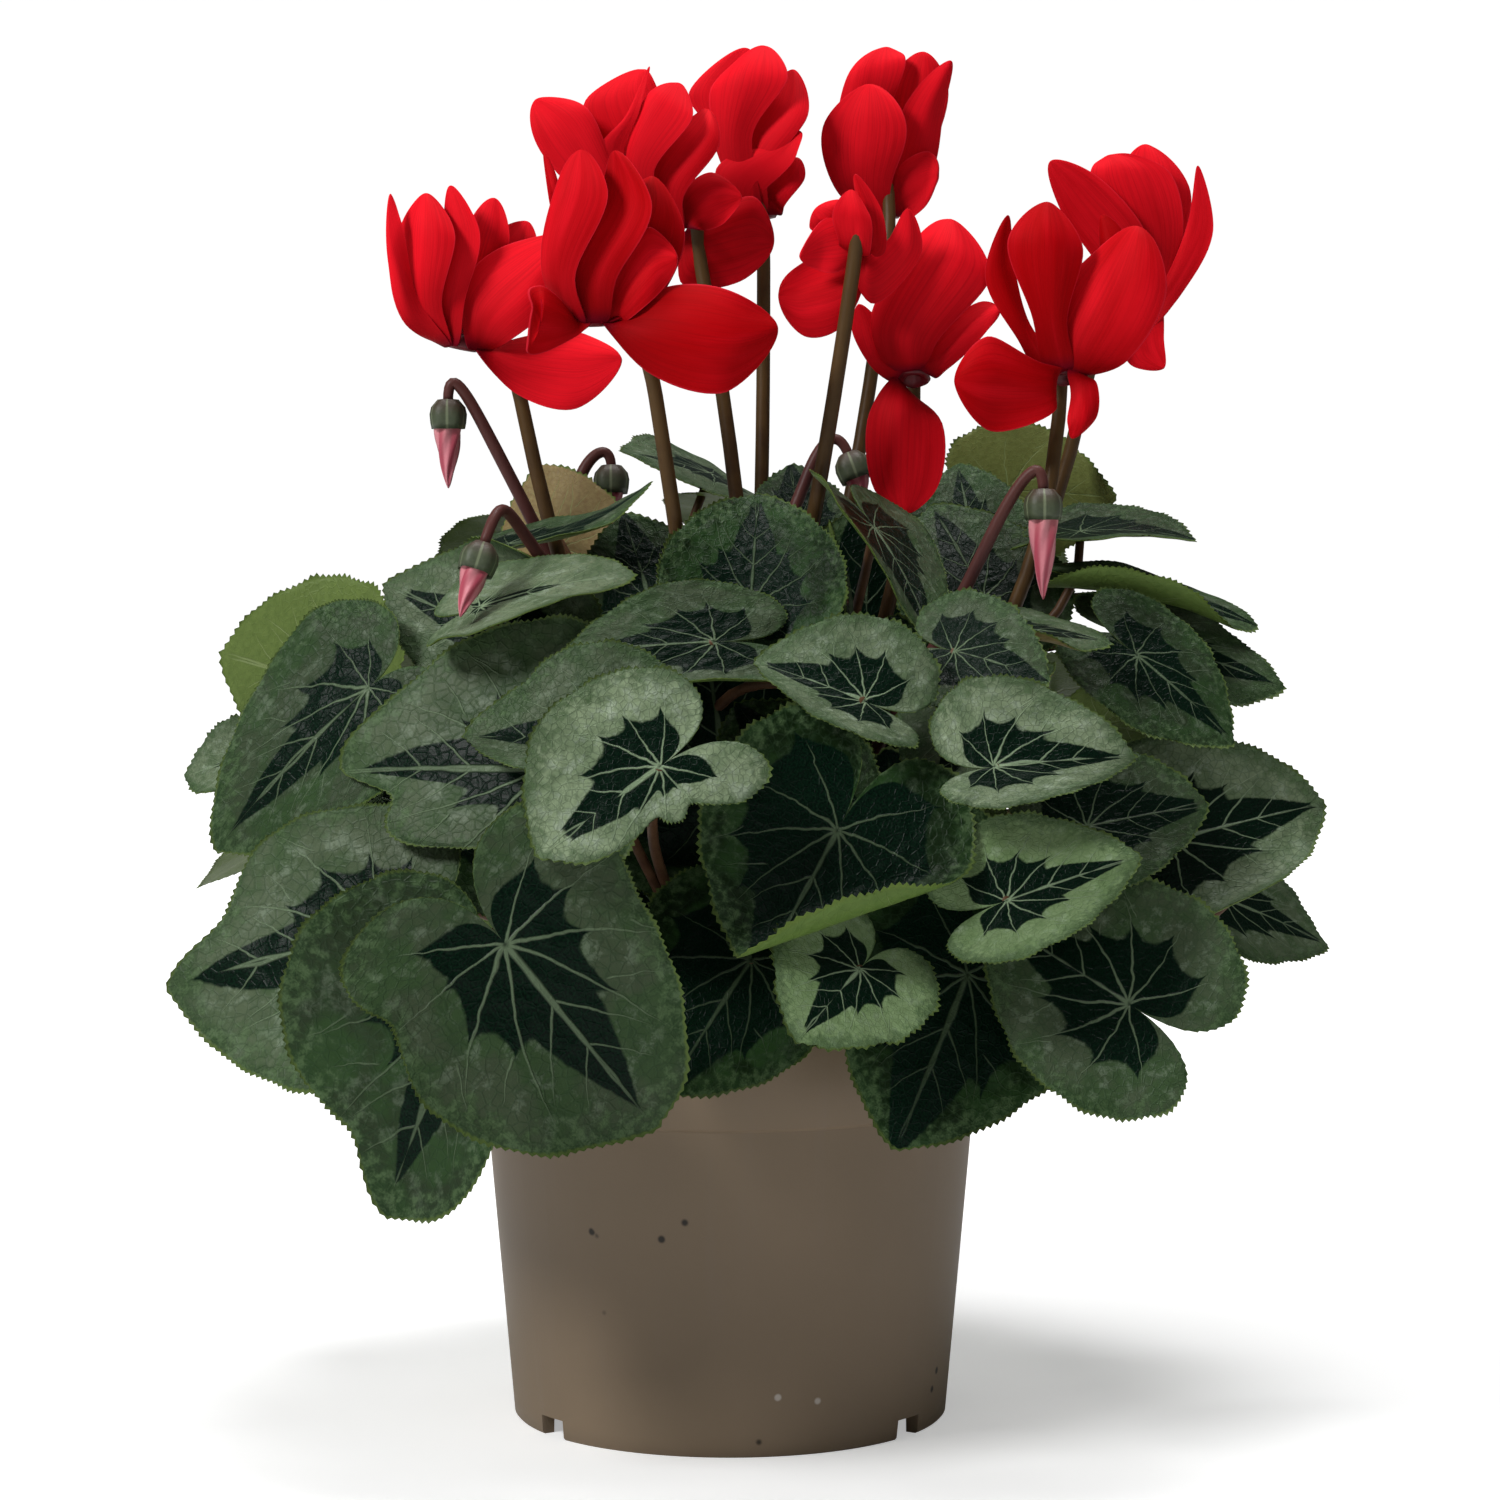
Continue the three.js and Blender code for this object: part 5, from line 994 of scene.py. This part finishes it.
def build_leaves():
    petiole = stem_paint("petiole_brown", (0.035, 0.012, 0.008), (0.1, 0.05, 0.024))
    materials = [leaf_top(), leaf_under(), petiole]
    shells, ages = {}, {}
    for i, leaf in enumerate(find_leaves()):
        rng = np.random.default_rng(1000 + i)
        drawn = (0.35 + 0.35 * rng.random(), 1 + 0.25 * rng.random(), 0.1 * rng.random())
        look = LOOKS.get(leaf["name"], drawn)
        silver, dark, age = look + (1, 0)[len(look) - 1:]
        tone = (7.3 * (i + 1), silver, dark)
        shell = shells.setdefault(leaf["node"], Shell())
        before = shell.count
        add_blade(shell, leaf, tone)
        t = np.concatenate([[0, 0.02], np.linspace(0.08, 1, 18)])
        add_tube(shell, bezier(leaf["controls"], t), np.linspace(1.6, 1.15, len(t)), 10, 2, tone)
        ages.setdefault(leaf["node"], []).append(np.tile((0, 0, age), (shell.count - before, 1)))
    for node, shell in sorted(shells.items()):
        piece = shell.build(f"foliage_{node[-2:]}", materials)
        layer = piece.data.attributes.new("age", "FLOAT_VECTOR", "POINT")
        layer.data.foreach_set("vector", np.concatenate(ages[node]).astype(np.float32).ravel())
        own(piece, node)


def fine_stem(first, hook):
    t = np.concatenate([[0, 0.02], np.linspace(0.07, 1, 18)])
    centres = np.vstack([bezier(first, t), bezier(hook, np.linspace(0, 1, 17)[1:])])
    radii = np.concatenate([np.linspace(2.15, 1.8, len(t)), np.linspace(1.8, 1.5, 17)[1:]])
    return centres, radii


# Profiles of a bloom's mouth ring and of a bud's calyx: radius and height.
RING = ((0.1, -1.2), (2, 0.2), (2.8, 1.5), (3.6, 1.4), (4.1, 0.6), (3.7, -1.2), (2.9, -2.3), (0.1, -2.6))
CUP = (
    (0.1, -1.6), (2.6, -1.3), (4.2, 0.6), (4.6, 2.4), (4.4, 4.6), (4.1, 6.1), (3.7, 5.6), (3.4, 2),
    (0.1, 0.6),
)


def build_blooms():
    red = petal_paint("petal_red", (0.42, 0.0002, 0.002), (0.82, 0.007, 0.017), (0.15, 0.0001, 0.001))
    back = petal_paint("petal_back", (0.36, 0.0006, 0.006), (0.62, 0.009, 0.028), (0.13, 0.0002, 0.003))
    mouth_dark = mouth_paint()
    brown = stem_paint("stem_brown", (0.02, 0.007, 0.004), (0.085, 0.045, 0.014))
    for i, (base, mouth, stem, petals) in enumerate(BLOOMS):
        name = f"bloom_{i + 1}"
        base, mouth = np.array(base, float), unit(np.array(mouth, float))
        low_point, high_point = np.array(stem, float)
        route = find_stem(name + "_stem", low_point, high_point, base - mouth * MOUTH_SEAT, mouth, 0)
        shell = Shell()
        add_tube(shell, *fine_stem(*route), 14, 0)
        own(shell.build(f"flower_stem_{i + 1}", [brown]), name + "_stem")
        shell = Shell()
        for k, petal in enumerate(petals + EXTRA_PETALS.get(name, ())):
            add_petal(shell, petal_outline(base, mouth, petal), BLOOM_PAINTED_LIGHT[i], 100 * i + k)
        ring = np.array(RING) * SMALL_RINGS.get(name, 1)
        add_lathe(shell, ring, 30, base, mouth, 1, 5, 0.05)
        own(shell.build(f"flower_{i + 1}", [red, mouth_dark, back]), name + "_petals")


def build_buds():
    maroon = stem_paint("bud_stem_maroon", (0.035, 0.008, 0.012), (0.09, 0.03, 0.025))
    green, pink = calyx_paint(), bud_paint()
    for i, bud in enumerate(BUDS):
        name = f"bud_{i + 1}"
        rise_point, hook_point, calyx, tip = np.array(bud, float)
        length, heading = np.linalg.norm(tip - calyx), unit(tip - calyx)
        high_point = rise_point + 0.35 * (hook_point - rise_point)
        seat = calyx - heading * CALYX_SEAT
        route = find_stem(name + "_stem", rise_point, high_point, seat, heading, STEM["bud"])
        centres, radii = fine_stem(*route)
        shell = Shell()
        add_tube(shell, centres, radii - 0.2, 12, 0)
        add_lathe(shell, CUP, 30, calyx, heading, 1, 5, 0.07)
        own(shell.build(f"bud_hook_{i + 1}", [maroon, green]), name + "_stem")
        shell = Shell()
        rows, segments = 22, 25
        angle = turn_of(segments)
        across = across_of(BACK, heading)
        third = np.cross(heading, across)
        points, flat = [], []
        for s in np.linspace(0.04, 1, rows):
            wide = 3.2 * math.sin(math.pi * (0.16 + 0.84 * s) ** 0.62) ** 0.8 + 0.15
            twisted = circle(angle + 2.6 * s, wide * (1 + 0.12 * np.cos(5 * angle)), across, third)
            points.append(calyx + heading * s * length + twisted)
            flat.append(np.stack([np.full(segments, s), angle, np.zeros(segments)], -1))
        faces = grid_faces(rows, segments, True) + cap(0, segments, True) + cap(rows - 1, segments)
        shell.add(np.concatenate(points), faces, 0, np.concatenate(flat))
        own(shell.build(f"bud_{i + 1}_folds", [pink]), name + "_petals")


def pot_radius(height):
    if height >= RIM_BAND["from"]:
        share = (height - RIM_BAND["from"]) / (POT["height"] - RIM_BAND["from"])
        return POT["shoulder"] + RIM_BAND["step"] + share * (POT["rim"] - POT["shoulder"] - RIM_BAND["step"])
    waist = POT["waist_height"]
    if height > waist:
        return POT["waist"] + (POT["shoulder"] - POT["waist"]) * (height - waist) / (RIM_BAND["from"] - waist)
    return POT["foot"] + (POT["waist"] - POT["foot"]) * height / waist


def build_pot():
    band, step, wall, height = RIM_BAND["from"], RIM_BAND["step"], POT["wall"], POT["height"]
    foot, shoulder, rim = POT["foot"], POT["shoulder"], POT["rim"]
    under, floor = POT_FLOOR["from"], POT_FLOOR["to"]
    inner = foot - FOOT["ring"]
    profile = [(0, under), (inner - 3, under), (inner, under - 0.6), (inner, 0), (foot - 0.5, 0)]
    profile += [(pot_radius(h), h) for h in (0.6, 5, 20, 40, 58, 61, 64, 80)]
    profile += [(shoulder, band), (shoulder + 0.25, band + 0.1), (shoulder + step - 0.2, band + step - 0.3)]
    profile += [(shoulder + step, band + step), (pot_radius(95), 95), (rim - 0.1, height - 1.4)]
    profile += [(rim - 0.25, height - 0.5), (rim - 0.7, height), (rim - wall + 0.3, height)]
    profile += [(rim - wall, height - 0.4), (pot_radius(band) - wall - step, band)]
    profile += [(pot_radius(61) - wall, 61), (pot_radius(floor) - wall, floor), (0, floor)]
    spread = math.degrees(math.asin(FOOT["notch_width"] / 2 / foot))
    degrees = set(np.arange(0, 360, 2.5).tolist())
    for at in FOOT["notch_angles"]:
        degrees = {d for d in degrees if abs(d - at) > spread + 1}
        degrees |= {at - spread - 0.1, at - spread + 0.1, at, at + spread - 0.1, at + spread + 0.1}
    points = []
    for r, h in profile:
        for d in sorted(degrees):
            cut = min(abs(d - at) for at in FOOT["notch_angles"]) < spread
            z = max(h, FOOT["notch_height"]) if cut and r > inner - 0.1 and h < under else h
            a = math.radians(d - 90)
            points.append((r * math.cos(a), r * math.sin(a), z))
    piece = new_object("pot_shell", points, grid_faces(len(profile), len(degrees), True), [pot_paint()])
    piece.modifiers.new("edges", "EDGE_SPLIT").split_angle = math.radians(38)
    own(piece, "pot")


def build_bed():
    """Crumbly peat top and the corm in it."""
    rng = np.random.default_rng(5)
    rows, segments = 34, 150
    outer = pot_radius(SOIL["top"]) - POT["wall"] - RIM_BAND["step"] - SOIL["clearance"]
    level = CORM["radius"] * 1.7
    angle = turn_of(segments)
    rings = []
    for i in range(rows):
        r = outer * (1 - i / (rows - 1)) + 0.01
        fall = 2 * max(0, (r - level) / (outer - level))
        crumbs = rng.normal(0, 0.55, segments) * (0.2 if i == rows - 1 else 1)
        heights = SOIL["top"] - fall + 0.4 + crumbs
        rings.append(np.stack([r * np.cos(angle), r * np.sin(angle), heights], -1))
    skirt = rings[0] * (1, 1, 0) + (0, 0, 84)
    points = np.concatenate([skirt, *rings])
    shell = Shell()
    shell.add(points, grid_faces(rows + 1, segments, True), 0, np.zeros((len(points), 3)))
    own(shell.build("peat_top", [peat_paint()]), "soil")
    shell = Shell()
    radius, half, centre = CORM["radius"], CORM["height"] / 2, CORM["centre"]
    turns = np.linspace(0.02, math.pi - 0.02, 18)
    profile = [(radius * math.sin(a), centre - half * math.cos(a)) for a in turns]
    add_lathe(shell, profile, 40, np.zeros(3), UP, 0, 7, 0.02)
    own(shell.build("corm_body", [corm_paint()]), "corm")


# ---------- Stage ----------
def area_light(name, place, aim, size, power):
    data = bpy.data.lights.new(name, "AREA")
    data.shape, data.size, data.energy = "DISK", size, power
    lamp = bpy.data.objects.new(name, data)
    lamp.location = place
    lamp.rotation_euler = (Vector(aim) - Vector(place)).to_track_quat("-Z", "Y").to_euler()
    bpy.context.scene.collection.objects.link(lamp)


def build_stage():
    far = 9000
    square = [(-far, -far, 0), (far, -far, 0), (far, far, 0), (-far, far, 0)]
    new_object("floor", square, [(0, 1, 2, 3)], [floor_paint()])
    world = bpy.data.worlds.new("studio")
    world.use_nodes = True
    tree = world.node_tree
    lit = tree.nodes["Background"]
    lit.inputs[0].default_value, lit.inputs[1].default_value = WHITE, 0.11
    seen = add_node(tree, "Background", {0: WHITE, 1: 1.02})
    ray = add_node(tree, "LightPath", {}).outputs["Is Camera Ray"]
    both = add_node(tree, "MixShader", {0: ray, 1: lit.outputs[0], 2: seen.outputs[0]})
    tree.links.new(both.outputs[0], tree.nodes["World Output"].inputs[0])
    scene = bpy.context.scene
    scene.world = world
    scene.view_settings.view_transform = "Standard"
    area_light("key", (-1.25, -1.05, 1.35), (0, 0, 0.2), 0.55, 28)
    area_light("fill", (1.3, -1.3, 0.9), (0, 0, 0.2), 1.2, 0.8)
    area_light("top", (0.1, 0.1, 1.8), (0, 0, 0.25), 1.0, 21)
    camera_data = bpy.data.cameras.new("camera")
    camera_data.lens, camera_data.sensor_width = 93.02, 36
    camera_data.clip_start, camera_data.clip_end = 0.05, 50
    camera = bpy.data.objects.new("camera", camera_data)
    camera.location = (AXIS[0] / 1000, (AXIS[1] - 1000) / 1000, 0.230)
    camera.rotation_euler = (math.radians(90 - 3.337), 0, math.radians(-0.2956))
    scene.collection.objects.link(camera)
    scene.camera = camera


build_stage()
build_pot()
build_bed()
build_leaves()
build_blooms()
build_buds()
